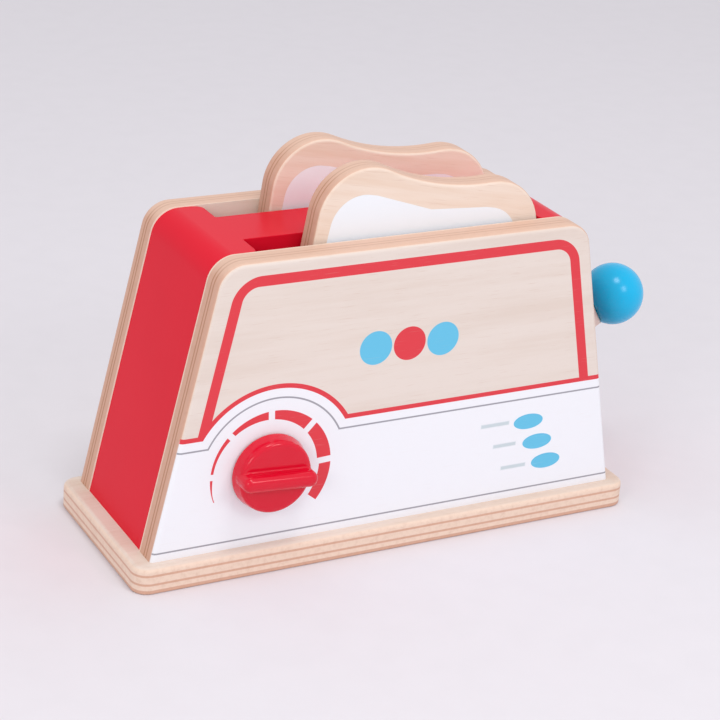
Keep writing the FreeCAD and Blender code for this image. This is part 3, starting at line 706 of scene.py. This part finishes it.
def steel(name, colour):
    """Plated steel with scratches."""
    finish = Finish(name, 0.32)
    finish.give("Metallic", 1.0)
    scratches = finish.noise((300, 300, 2500))
    finish.give("Base Color", finish.blend(scratches, colour, shaded(colour, 0.7)))
    finish.give("Roughness", scratches * 0.2 + 0.22)
    finish.bump(scratches, 0.02 * MM, 0.4)
    return finish.material


def shared(name, make, *details):
    """A finish that several pieces wear, made for the first of them."""
    return bpy.data.materials.get(name) or make(name, *details)


def dowel_wood(colours):
    return shared("turned_beech", grained, 0.6, (500, 90, 500), 3.0, 0.6, colours.beech,
                  colours.ply_dark, 0.4)


def red_lacquer(colours):
    return shared("red_gloss", lacquer, colours.red, 0.3, 0.12, 0.16)


def screw_steel(colours):
    return shared("plated_steel", steel, colours.steel)


# ---- front print ----
SCALE_GAPS = (3, 47, 92.5, 135.5, 177)      # bearings in degrees, anticlockwise from the right
SCALE_END = radians(-38)
TAIL_START = radians(177)
TAIL_END = radians(202)
TAIL_WIDTH = 1.0 * MM

# (X, height) of each badge, and (X, height, length) of each dash, in millimetres
BADGES = ((65.5, 48.5), (71.2, 38.0), (76.9, 27.6))
DASHES = ((48.4, 49.4, 14.2), (54.3, 38.7, 11.5), (60.0, 27.4, 12.6))
DASH_BLUR = 0.4 * MM

PRINT_DEPTH = 1.1 * MM      # how far the print runs round the panel's edge
PRINT_FEATHER = 0.25 * MM
BELT_BLUR = 0.2 * MM
BARE_PORES = 0.08


def stripe_mask(x, z, case, sizes):
    """The red stripe that follows the panel's outline."""
    foot, top = PANEL_HIGH.x, PANEL_HIGH.z
    slope = atan((foot - case.panel_top / 2) / case.panel_rise)
    leant = abs(x - sizes.stripe_x) * cos(slope) + (z - PANEL_LOW.z) * sin(slope)
    across = leant - foot * cos(slope) + (sizes.stripe_side + sizes.stripe_corner)
    up = z - top + (sizes.stripe_top + sizes.stripe_corner)
    reach = distance(most(across, 0.0), most(up, 0.0)) + least(most(across, up), 0.0)
    hollow = sizes.stripe_corner - sizes.stripe_width
    return most(reach - sizes.stripe_corner, hollow - reach).within()


def scale_mask(x, z, sizes):
    """The crescent round the dial, thick to the right, cut by gaps, with a fading tail."""
    across, up = x - sizes.scale[0], z - sizes.scale[1]
    outer = distance(across, up) - sizes.scale_radius
    inner = sizes.scale_hollow - distance(across, up, (-sizes.scale_shift, 0))
    gaps = []
    for bearing in SCALE_GAPS:
        sine, cosine = sin(radians(bearing)), cos(radians(bearing))
        beside = sizes.scale_gap / 2 - abs(up * cosine - across * sine)
        ahead = across * cosine + up * sine
        gaps.append(least(beside, ahead))
    # bearings from the tail's lower side, so that they grow right round the scale
    bearing = x.nodes.math("ARCTAN2", up * -1.0, across * -1.0) + pi
    on_tail = bearing.fade(TAIL_START, TAIL_END) * TAIL_WIDTH
    outside = least(bearing - TAIL_END, SCALE_END + 2 * pi - bearing) * sizes.scale_radius
    return most(outer, inner + on_tail, outside, *gaps).within()


def badge_mask(x, z, sizes):
    """Three oval badges, one below the other."""
    stretch = sizes.badge_length / sizes.badge_height
    return least(*[distance(x, (z - up * MM) * stretch, (across * MM, 0))
                   - sizes.badge_length / 2 for across, up in BADGES]).within()


def dash_mask(x, z, sizes):
    """Plain dashes beside the badges."""
    return least(*[most(abs(x - across * MM) - long * MM / 2,
                        abs(z - up * MM) - sizes.dash_height / 2)
                   for across, up, long in DASHES]).within(DASH_BLUR)


def print_front(wood, case, sizes, colours):
    """Prints the front panel's decoration over its wood."""
    x, y, z = wood.axes()
    belt = least(z - sizes.belt_height, distance(x, z, sizes.hump) - sizes.hump_radius)
    belt_line = abs(belt) - sizes.belt_line / 2
    fine_lines = least(abs(belt + sizes.fine_gap), abs(z - sizes.low_line)) - sizes.fine_line / 2
    left_dot, middle_dot, right_dot = [
        distance(x, z, (sizes.dots[0] + side * sizes.dot_spacing, sizes.dots[1]))
        - sizes.dot_radius for side in (-1, 0, 1)]
    layers = (
        (belt.within(), colours.white),
        (fine_lines.within(), colours.print_grey),
        (belt_line.within(), colours.print_red),
        (stripe_mask(x, z, case, sizes) * belt.fade(0.0, BELT_BLUR), colours.print_red),
        (scale_mask(x, z, sizes), colours.print_red),
        (middle_dot.within(), colours.print_red),
        (least(left_dot, right_dot).within(), colours.print_blue),
        (badge_mask(x, z, sizes), colours.print_blue),
        (dash_mask(x, z, sizes), colours.dash),
    )
    on_front = (y - (PANEL_LOW.y + PRINT_DEPTH)).within(PRINT_FEATHER)
    cover = 1.0 - wood.pores * BARE_PORES
    surface = wood.wood
    for mask, ink in layers:
        surface = wood.blend(mask * on_front * cover, surface, ink)
    wood.give("Base Color", surface)


# ---- base and case ----
# From the underside up. The lowest tan band is twice as deep as the other tan plies: partly the
# ply's own tone, partly painted shade where the base meets the floor.
BASE_PLIES = ((2.0, "tan"), (2.1, "light"), (1.0, "tan"), (3.0, "light"), (1.0, "tan"),
              (2.9, "light"))
PANEL_PLIES = ((0.7, "light"), (3.7, "tan"), (0.8, "dark"), (1.4, "tan"), (0.8, "dark"),
               (3.5, "tan"), (0.9, "light"))
SLICE_PLIES = ((0.6, "light"), (3.5, "tan"), (0.6, "dark"), (1.6, "tan"), (0.6, "dark"),
               (3.5, "tan"), (0.6, "light"))
LEVER_PLIES = ((1.9, "light"), (1.2, "dark"), (3.8, "light"), (1.2, "dark"), (1.9, "light"))

SCREW_SIDES = 32
HEAD_BEVEL, HEAD_RIM = 0.3 * MM, 0.2 * MM
SCREW_POINT = 3 * MM
HOLE_END = 2 * MM
CROSS_REACH, CROSS_HALF, CROSS_DEPTH = 2.2 * MM, 0.4 * MM, 1.3 * MM
OVERCUT = 1 * MM            # how far a cutter stands out of what it cuts


def screw_places(case):
    """The six places of the base screws, three under each panel."""
    radius = case.screw_head / 2
    left, right = SCREW_LOW.x + radius, SCREW_HIGH.x - radius
    for x in (left, (left + right) / 2, right):
        for y in (SCREW_LOW.y + radius, SCREW_HIGH.y - radius):
            yield Vector((x, y, 0))


class TOASTER_OT_base(bpy.types.Operator):
    """Base board of plywood, with sunk holes for its screws"""
    bl_idname = "toaster.base"
    bl_label = "Base board"

    def execute(self, context):
        case, colours = settings(context, "case", "colours")
        half, depth = BASE_HIGH.x, BASE_HIGH.y
        outline = rounded(rectangle(-half, -depth, half, depth), [case.base_corner] * 4)
        board = skin(slab(outline, 0, BASE_HIGH.z, case.base_foot_edge, case.base_top_edge))
        radius = case.screw_head / 2
        shank = radius / 2
        hole = ((radius + case.screw_recess + OVERCUT, -OVERCUT),
                (shank, case.screw_recess + radius - shank), (shank, BASE_HIGH.z - HOLE_END))
        sinks = [moved(turned(hole, SCREW_SIDES), place) for place in screw_places(case)]
        board = combine(board, gathered(sinks))
        wood = Plywood("base_plywood", Z, BASE_LOW.z, BASE_HIGH.z, BASE_PLIES, colours,
                       colours.base_face, colours.base_streak)
        set_up("base_board", board, wood.material, "case", "base_plate")
        return {"FINISHED"}


class TOASTER_OT_base_screws(bpy.types.Operator):
    """Countersunk screws under the base, with cross recesses"""
    bl_idname = "toaster.base_screws"
    bl_label = "Base screws"

    def execute(self, context):
        case, colours = settings(context, "case", "colours")
        low, high = SCREW_LOW.z, SCREW_HIGH.z
        radius = case.screw_head / 2
        shank = radius / 2
        profile = ((radius - HEAD_BEVEL, low), (radius, low + HEAD_RIM),
                   (shank, low + radius - shank), (shank, high - SCREW_POINT), (0, high))
        arm = rectangle(-CROSS_REACH, -CROSS_HALF, CROSS_REACH, CROSS_HALF)
        screws = []
        for place in screw_places(case):
            screw = turned(profile, SCREW_SIDES)
            for turn in (0, QUARTER):
                bar = skin(slab(arm, -OVERCUT, low + CROSS_DEPTH))
                screw = combine(screw, moved(bar, (0, 0, 0), turn))
            screws.append(moved(screw, place))
        set_up("base_screw_set", gathered(screws), screw_steel(colours), "case",
               "base_screws")
        return {"FINISHED"}


def body_outline(case, inset_by=0.0):
    """The sloping outline that the panels and the core share, with rounded top corners."""
    low, high = PANEL_LOW.z, PANEL_HIGH.z - inset_by
    slope = (PANEL_HIGH.x - case.panel_top / 2) / case.panel_rise
    foot = PANEL_HIGH.x - inset_by
    top = foot - (high - low) * slope
    return rounded([(-foot, low), (foot, low), (top, high), (-top, high)],
                   [0, 0, case.panel_corner, case.panel_corner])


class TOASTER_OT_panels(bpy.types.Operator):
    """Front panel with its print, and plain rear panel"""
    bl_idname = "toaster.panels"
    bl_label = "Plywood panels"

    def execute(self, context):
        case, sizes, colours = settings(context, "case", "print", "colours")
        outline = body_outline(case)
        outer, inner = PANEL_LOW.y, PANEL_HIGH.y
        front = skin(slab(outline, outer, inner, case.panel_edge, 0, keep_foot=True), along_y)
        wood = Plywood("printed_plywood", Y, outer, inner, PANEL_PLIES, colours)
        print_front(wood, case, sizes, colours)
        set_up("printed_front_panel", front, wood.material, "case", "front_panel")
        rear = skin(slab(outline, -inner, -outer, 0, case.panel_edge, keep_foot=True), along_y)
        # painted light: lighter birch colours than the front panel's, to lift the panel's shaded
        # inner face
        wood = Plywood("rear_plywood", Y, -inner, -outer, PANEL_PLIES, colours,
                       colours.rear_face_painted_light, colours.rear_streak_painted_light)
        set_up("plain_rear_panel", rear, wood.material, "case", "rear_panel")
        return {"FINISHED"}


DECK_FOOT = DECK_HIGH.x
DECK_SIDE = BOARD_HIGH.y


def end_board(case, end):
    """A sloping end board: 1 for the right end and -1 for the left."""
    low, high = BOARD_LOW.z, BOARD_HIGH.z
    lean = BOARD_HIGH.x - DECK_FOOT
    run = case.board_thickness * hypot(lean, high - low) / (high - low)
    corners = [(BOARD_HIGH.x - run, low), (BOARD_HIGH.x, low), (DECK_FOOT, high),
               (DECK_FOOT - run, high)]
    if end < 0:
        corners = [(-across, up) for across, up in reversed(corners)]
    return skin(slab(corners, BOARD_LOW.y, BOARD_HIGH.y), along_y)


class TOASTER_OT_end_boards(bpy.types.Operator):
    """Red end boards, the right one with the lever's slot"""
    bl_idname = "toaster.end_boards"
    bl_label = "End boards"

    def execute(self, context):
        case, colours = settings(context, "case", "colours")
        finish = red_lacquer(colours)
        set_up("red_left_end", end_board(case, -1), finish, "case",
               "left_end_board")
        low, high = case.lever_slot_low, case.lever_slot_high
        half = LEVER_HIGH.y + case.lever_slot_play
        cutter = skin(slab(rectangle(-half, low, half, high), WALL_HIGH.x / 2, BASE_HIGH.x),
                      along_x)

        def on_slot(*ends):
            return all(abs(end.y) < half + PARALLEL and low - MM < end.z < high + MM
                       for end in ends)

        right = round_edges(combine(end_board(case, 1), cutter), case.board_edge, on_slot)
        set_up("red_right_end", right, finish, "case", "right_end_board")
        return {"FINISHED"}


SLOT_CORNER_STEPS = 4
SLOT_OVERCUT = 5 * MM


def bread_slot_cutter(case, face):
    """A bread slot: square at the rib, and opening out in a curve at the panel."""
    left, right, corner, mouth = case.slot_left, case.slot_right, case.slot_corner, case.slot_mouth
    rib, outer = WALL_HIGH.y, DECK_SIDE + 2 * OVERCUT
    turn_in = DECK_SIDE - mouth
    outline = arc((left + corner, rib + corner), corner, pi, 3 * QUARTER, SLOT_CORNER_STEPS)
    outline += arc((right - corner, rib + corner), corner, 3 * QUARTER, 2 * pi,
                   SLOT_CORNER_STEPS)
    outline += arc((right + mouth, turn_in), mouth, pi, QUARTER)
    outline += [(right + mouth, outer), (left - mouth, outer)]
    outline += arc((left - mouth, turn_in), mouth, QUARTER, 0)
    if face < 0:
        outline = [(across, -up) for across, up in reversed(outline)]
    return skin(slab(outline, DECK_LOW.z - SLOT_OVERCUT, DECK_HIGH.z + SLOT_OVERCUT))


class TOASTER_OT_deck(bpy.types.Operator):
    """Red top board with two bread slots"""
    bl_idname = "toaster.deck"
    bl_label = "Top deck"

    def execute(self, context):
        case, colours = settings(context, "case", "colours")
        outline = [(across, max(up, DECK_LOW.z))
                   for across, up in body_outline(case, PANEL_HIGH.z - DECK_HIGH.z)]
        outline[:2] = (-DECK_FOOT, DECK_LOW.z), (DECK_FOOT, DECK_LOW.z)
        deck = skin(slab(outline, -DECK_SIDE, DECK_SIDE), along_y)
        for face in (-1, 1):
            deck = combine(deck, bread_slot_cutter(case, face))

        def on_lip(first, second):
            on_top = min(first.z, second.z) > DECK_HIGH.z - PARALLEL
            slot_end = case.slot_right + case.slot_mouth
            inside = max(abs(first.x), abs(second.x)) < slot_end + PARALLEL
            apart = abs((first + second).y / 2) < DECK_SIDE - PARALLEL
            return on_top and inside and apart

        deck = round_edges(deck, case.slot_lip, on_lip, 4)
        set_up("red_top_deck", deck, red_lacquer(colours), "case", "top_deck")
        return {"FINISHED"}


class TOASTER_OT_inside(bpy.types.Operator):
    """Painted inner walls, dowels, pin and washers, as the construction model has them"""
    bl_idname = "toaster.inside"
    bl_label = "Inside pieces"

    def execute(self, context):
        colours, = settings(context, "colours")
        # painted shade: a darker red inside the slots stands in for the shade there
        paint = lacquer("inner_red_paint", colours.slot_red_painted_shade, 0.45, 0.2, 0.3)
        pressed = grained("pressed_fibre", 0.8, (900, 900, 900), 4.0, 0.7, colours.fibre,
                          shaded(colours.fibre, 1.8), 0.5)
        for finish, nodes in (
                (paint, ("inner_wall_front", "inner_wall_rear")),
                (dowel_wood(colours), ("panel_dowels", "deck_dowels", "pivot_pin", "ball_dowel")),
                (pressed, ("pivot_washers", "dial_washer")),
                (screw_steel(colours), ("dial_screw",))):
            for node in nodes:
                repaint(node, finish)
        return {"FINISHED"}


# ---- moving pieces ----
LOBE_STEPS = 20
DIP_STEPS = 12


def slice_outline(toast):
    """A slice: slightly spread sides, two lobes and a dip, from the middle of its foot."""
    centre, radius, dip = toast.lobe_spacing / 2, toast.lobe_radius, toast.crown_dip
    level = toast.height - radius
    # the dip's arc runs smoothly into both lobes
    dip_radius = (centre ** 2 + dip ** 2 - 2 * radius * dip) / (2 * dip)
    dip_centre = toast.height - dip + dip_radius
    swing = atan2(centre, dip_centre - level)
    foot = toast.foot_length / 2
    outline = rounded([(-foot, 0), (foot, 0), (centre + radius, level), (-centre - radius, level)],
                      [toast.foot_radius, toast.foot_radius, 0, 0])[:-2]
    outline += arc((centre, level), radius, 0, QUARTER + swing, LOBE_STEPS)
    outline += arc((0, dip_centre), dip_radius, 3 * QUARTER + swing, 3 * QUARTER - swing,
                   DIP_STEPS)[1:-1]
    outline += arc((-centre, level), radius, QUARTER - swing, pi, LOBE_STEPS)
    return outline


def slice_place(toast, node, lean):
    """Where a slice's foot stands: its right lobe and its crown touch the node's own box."""
    low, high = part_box(node)
    radius = toast.lobe_radius
    across, up = toast.lobe_spacing / 2, toast.height - radius
    x = high.x - radius - across * cos(lean) - up * sin(lean)
    z = high.z - radius - across * sin(lean) - up * cos(lean)
    return stand((x, (low.y + high.y) / 2, z), lean)


FLAT_FADE = (0.93, 0.97)
CRUMB_COVER = 0.97


def print_crumb(wood, toast, colours):
    """Prints a slice's white area: two round shoulders and a small cusp between them."""
    x, _, z = wood.axes()
    side = abs(x - toast.crumb_x)
    radius, crest = toast.crumb_radius, toast.crumb_height
    level = crest - radius
    half = toast.crumb_width / 2 - radius
    shoulder = distance(side, z, (half, level)) - radius
    below = most(side - (half + radius), z - level)
    # under the line that rises from the cusp to the crests
    run, rise = toast.cusp_run, toast.cusp_depth
    slant = hypot(run, rise)
    over = (z - (crest - rise)) * (run / slant) - side * (rise / slant)
    middle = most(over, side - half, z - crest)
    outline = most(least(shoulder, below, middle), toast.foot_radius - z)
    share = outline.within() * wood.facing.fade(*FLAT_FADE) * CRUMB_COVER
    wood.give("Base Color", wood.blend(share, wood.wood, colours.crumb))


class TOASTER_OT_toast(bpy.types.Operator):
    """Two slices of toast, standing on the crossbar"""
    bl_idname = "toaster.toast"
    bl_label = "Slices of toast"

    def execute(self, context):
        toast, colours = settings(context, "toast", "colours")
        outline = slice_outline(toast)
        half = (TOAST_HIGH.y - TOAST_LOW.y) / 2
        wood = Plywood("toast_plywood", Y, -half, half, SLICE_PLIES, colours, colours.crust,
                       colours.crust_streak)
        print_crumb(wood, toast, colours)
        for side, lean in (("front", toast.front_lean), ("rear", toast.rear_lean)):
            piece = skin(slab(outline, -half, half, toast.edge, toast.edge), along_y)
            node = "toast_" + side
            set_up(side + "_slice", piece, wood.material, "slice_" + side, node,
                   slice_place(toast, node, lean))
        return {"FINISHED"}


BORE_PLAY = 0.08 * MM
HUB_STEPS = 8
BOSS_STEPS = 24
BORE_SIDES = 48


def lever_bend(lever):
    """The inner arm's bearing, and the crossbar's place, with the outer arm along +X."""
    bend = pi + lever.inner_slope - lever.outer_slope
    return bend, (lever.bar_reach * cos(bend), lever.bar_reach * sin(bend))


def lever_outline(lever):
    """The dog-leg lever about its pivot, with the outer arm along +X."""
    half = lever.depth / 2
    hub, boss = lever.hub / 2, lever.boss / 2
    spread, boss_spread = asin(half / hub), asin(half / boss)
    bend, bar = lever_bend(lever)
    arm_end = lever.ball_reach - lever.ball_flat
    outline = [(arm_end, half)]
    outline += arc((0, 0), hub, spread, bend - spread, HUB_STEPS)
    outline += arc(bar, boss, bend - pi + boss_spread, bend + pi - boss_spread, BOSS_STEPS)
    outline += arc((0, 0), hub, bend + spread, 2 * pi - spread, HUB_STEPS)
    outline += [(arm_end, -half)]
    return outline


class TOASTER_OT_lever(bpy.types.Operator):
    """Plywood lever with bores for its pin and the crossbar"""
    bl_idname = "toaster.lever"
    bl_label = "Lever"

    def execute(self, context):
        lever, colours = settings(context, "lever", "colours")
        half = LEVER_HIGH.y
        arm = skin(slab(lever_outline(lever), -half, half, lever.edge, lever.edge), along_y)
        _, (bar_x, bar_z) = lever_bend(lever)
        bores = []
        for place, width in (((0, 0, 0), PIN_HIGH.x - PIN_LOW.x),
                             ((bar_x, 0, bar_z), BAR_HIGH.x - BAR_LOW.x)):
            radius = width / 2 + BORE_PLAY
            bore = turned([(radius, -2 * half), (radius, 2 * half)], BORE_SIDES)
            bores.append(moved(bore, place, QUARTER, "X"))
        arm = combine(arm, gathered(bores))
        wood = Plywood("lever_plywood", Y, -half, half, LEVER_PLIES, colours)
        pivot = (PIN_LOW + PIN_HIGH) / 2
        set_up("plywood_lever", arm, wood.material, "lever", "lever_arm",
               stand((pivot.x, 0, pivot.z), -lever.outer_slope))
        return {"FINISHED"}


BALL_ROWS = 44
BALL_SIDES = 96
FLAT_BEVEL = 0.5 * MM


class TOASTER_OT_ball(bpy.types.Operator):
    """Blue ball with a small flat where it meets the lever"""
    bl_idname = "toaster.ball"
    bl_label = "Blue ball"

    def execute(self, context):
        lever, colours = settings(context, "lever", "colours")
        radius = (BALL_HIGH.y - BALL_LOW.y) / 2
        start = -asin(lever.ball_flat / radius)
        side = arc((0, 0), radius, start, QUARTER, BALL_ROWS)[:-1]
        (flat, height), *_ = side
        ball = turned([(flat - FLAT_BEVEL, height), *side, (0, radius)], BALL_SIDES)
        set_up("blue_ball", ball, lacquer("blue_gloss", colours.blue, 0.22, 0.4), "lever",
               "lever_ball",
               stand((BALL_LOW + BALL_HIGH) / 2, QUARTER - lever.outer_slope))
        return {"FINISHED"}


class TOASTER_OT_crossbar(bpy.types.Operator):
    """Crossbar under the slices, a dowel with bevelled ends"""
    bl_idname = "toaster.crossbar"
    bl_label = "Crossbar"

    def execute(self, context):
        lever, colours = settings(context, "lever", "colours")
        radius = (BAR_HIGH.x - BAR_LOW.x) / 2
        reach, bevel = BAR_HIGH.y, lever.bar_chamfer
        bar = turned([(radius - bevel, -reach), (radius, bevel - reach), (radius, reach - bevel),
                      (radius - bevel, reach)], BORE_SIDES)
        set_up("wooden_crossbar", bar, dowel_wood(colours), "crossbar", "lift_bar",
               stand((BAR_LOW + BAR_HIGH) / 2, QUARTER, "X"))
        return {"FINISHED"}


BACK_BEVEL = 0.4 * MM
DIAL_SIDES = 128
GRIP_STEPS = 16
PAINT_VOXEL = 0.25 * MM
PAINT_SMOOTHING = 14


def painted_over(mesh):
    """The mesh with its inner corners filled softly, as by thick paint."""
    work = as_object(mesh, "work")
    remesh = work.modifiers.new("even", "REMESH")
    remesh.mode = "VOXEL"
    remesh.voxel_size = PAINT_VOXEL
    smooth = work.modifiers.new("paint", "SMOOTH")
    smooth.factor = 0.5
    smooth.iterations = PAINT_SMOOTHING
    return after_modifiers(work)


class TOASTER_OT_dial(bpy.types.Operator):
    """Red dial: a thick tapering disc with a grip bar across its front"""
    bl_idname = "toaster.dial"
    bl_label = "Dial"

    def execute(self, context):
        dial, colours = settings(context, "dial", "colours")
        profile = [(dial.radius - BACK_BEVEL, 0), (dial.radius, BACK_BEVEL)]
        profile += [(dial.radius - dial.taper - narrowing, dial.thickness - run)
                    for narrowing, run in reversed(rounding(dial.edge))]
        half = dial.grip_width / 2
        reach = dial.grip_length / 2 - half
        outline = arc((reach, 0), half, -QUARTER, QUARTER, GRIP_STEPS)
        outline += arc((-reach, 0), half, QUARTER, 3 * QUARTER, GRIP_STEPS)
        grip = skin(slab(outline, dial.thickness / 2, DIAL_HIGH.y - DIAL_LOW.y, 0,
                         dial.grip_edge))
        whole = combine(turned(profile, DIAL_SIDES), moved(grip, (0, 0, 0), -dial.grip_tilt),
                        "UNION")
        x, height = dial.centre
        paint = lacquer("dial_gloss", colours.dial_red, 0.13, 0.43)
        set_up("red_dial", painted_over(whole), paint, "dial", "dial_knob",
               stand((x, DIAL_HIGH.y, height), QUARTER, "X"))
        return {"FINISHED"}


# ---- stage ----
LAMPS = {"key": (0.38, -1.0, 0.82), "side": (-1.0, -0.75, 0.65), "top": (0.05, -0.5, 1.55)}
LAMP_AIM = Vector((0, 0, 0.08))
FLOOR_DEPTH = 20 * MM
FLECK_SHADE = 0.985


class TOASTER_OT_stage(bpy.types.Operator):
    """Pale floor and backdrop, soft light and the camera"""
    bl_idname = "toaster.stage"
    bl_label = "Stage"

    def execute(self, context):
        scene = context.scene
        stage = scene.toaster_stage
        self.lay_floor(stage)
        scene.world = self.backdrop(stage)
        for name, place in LAMPS.items():
            lamp = bpy.data.lights.new(name + "_lamp", "AREA")
            lamp.energy = getattr(stage, name + "_power")
            lamp.shape = "SQUARE"
            lamp.size = getattr(stage, name + "_side")
            self.point(scene, lamp, place, LAMP_AIM)
        camera = bpy.data.cameras.new("camera")
        camera.lens = stage.lens
        camera.sensor_width = 36
        camera.dof.use_dof = False
        scene.camera = self.point(scene, camera, stage.camera, Vector(stage.aim), stage.roll)
        scene.view_settings.view_transform = "Standard"
        return {"FINISHED"}

    def lay_floor(self, stage):
        """A wide matt card with faint flecks, its top at the toaster's foot."""
        reach = stage.floor_reach
        floor = as_object(skin(slab(rectangle(-reach, -reach, reach, reach), -FLOOR_DEPTH, 0)),
                          "floor")
        card = Finish("floor_card", 0.9)
        fleck = card.noise((60, 60, 60), 3.0).fade(0.3, 0.8)
        card.give("Base Color", card.blend(fleck, stage.floor, shaded(stage.floor, FLECK_SHADE)))
        floor.data.materials.append(card.material)

    def backdrop(self, stage):
        """A world that lights evenly, and shows the floor's colour to the camera and in gloss."""
        world = bpy.data.worlds.new("backdrop")
        world.use_nodes = True
        nodes = Nodes(world.node_tree)
        seen = nodes.add("ShaderNodeBackground", {"Color": stage.floor, "Strength": 1.0})
        even = nodes.add("ShaderNodeBackground", {"Color": (1, 1, 1), "Strength": stage.daylight})
        looking = most(*[nodes.add("ShaderNodeLightPath", output=ray) for ray in
                         ("Is Camera Ray", "Is Glossy Ray", "Is Transmission Ray")])
        choice = nodes.add("ShaderNodeMixShader", enumerate((looking, even, seen)))
        nodes.put(nodes.tree.nodes["World Output"].inputs["Surface"], choice)
        return world

    def point(self, scene, data, place, aim, roll=0):
        """Puts a lamp or a camera in its place and points it."""
        item = bpy.data.objects.new(data.name, data)
        item.location = place
        sight = (aim - item.location).to_track_quat("-Z", "Y")
        item.rotation_euler = (sight @ Quaternion((0, 0, 1), roll)).to_euler()
        scene.collection.objects.link(item)
        return item


class VIEW3D_PT_toaster(bpy.types.Panel):
    """Lists the steps that build the toaster, with their sizes and colours"""
    bl_label = "Toy Toaster"
    bl_idname = "VIEW3D_PT_toaster"
    bl_space_type = "VIEW_3D"
    bl_region_type = "UI"
    bl_category = "Toy Toaster"

    def draw(self, context):
        for step in STEPS:
            self.layout.operator(step.bl_idname)
        for group, kind in GROUPS.items():
            box = self.layout.box()
            box.label(text=kind.__doc__)
            for name in kind.__annotations__:
                box.prop(getattr(context.scene, group), name)


STEPS = (
    TOASTER_OT_base,
    TOASTER_OT_base_screws,
    TOASTER_OT_panels,
    TOASTER_OT_end_boards,
    TOASTER_OT_deck,
    TOASTER_OT_inside,
    TOASTER_OT_toast,
    TOASTER_OT_lever,
    TOASTER_OT_ball,
    TOASTER_OT_crossbar,
    TOASTER_OT_dial,
    TOASTER_OT_stage,
)


def register():
    for group, kind in GROUPS.items():
        bpy.utils.register_class(kind)
        setattr(bpy.types.Scene, group, bpy.props.PointerProperty(type=kind))
    for step in STEPS:
        bpy.utils.register_class(step)
    bpy.utils.register_class(VIEW3D_PT_toaster)


def unregister():
    bpy.utils.unregister_class(VIEW3D_PT_toaster)
    for step in reversed(STEPS):
        bpy.utils.unregister_class(step)
    for group, kind in GROUPS.items():
        delattr(bpy.types.Scene, group)
        bpy.utils.unregister_class(kind)


def main():
    register()
    for step in STEPS:
        family, name = step.bl_idname.split(".")
        getattr(getattr(bpy.ops, family), name)()


if __name__ == "__main__":
    main()
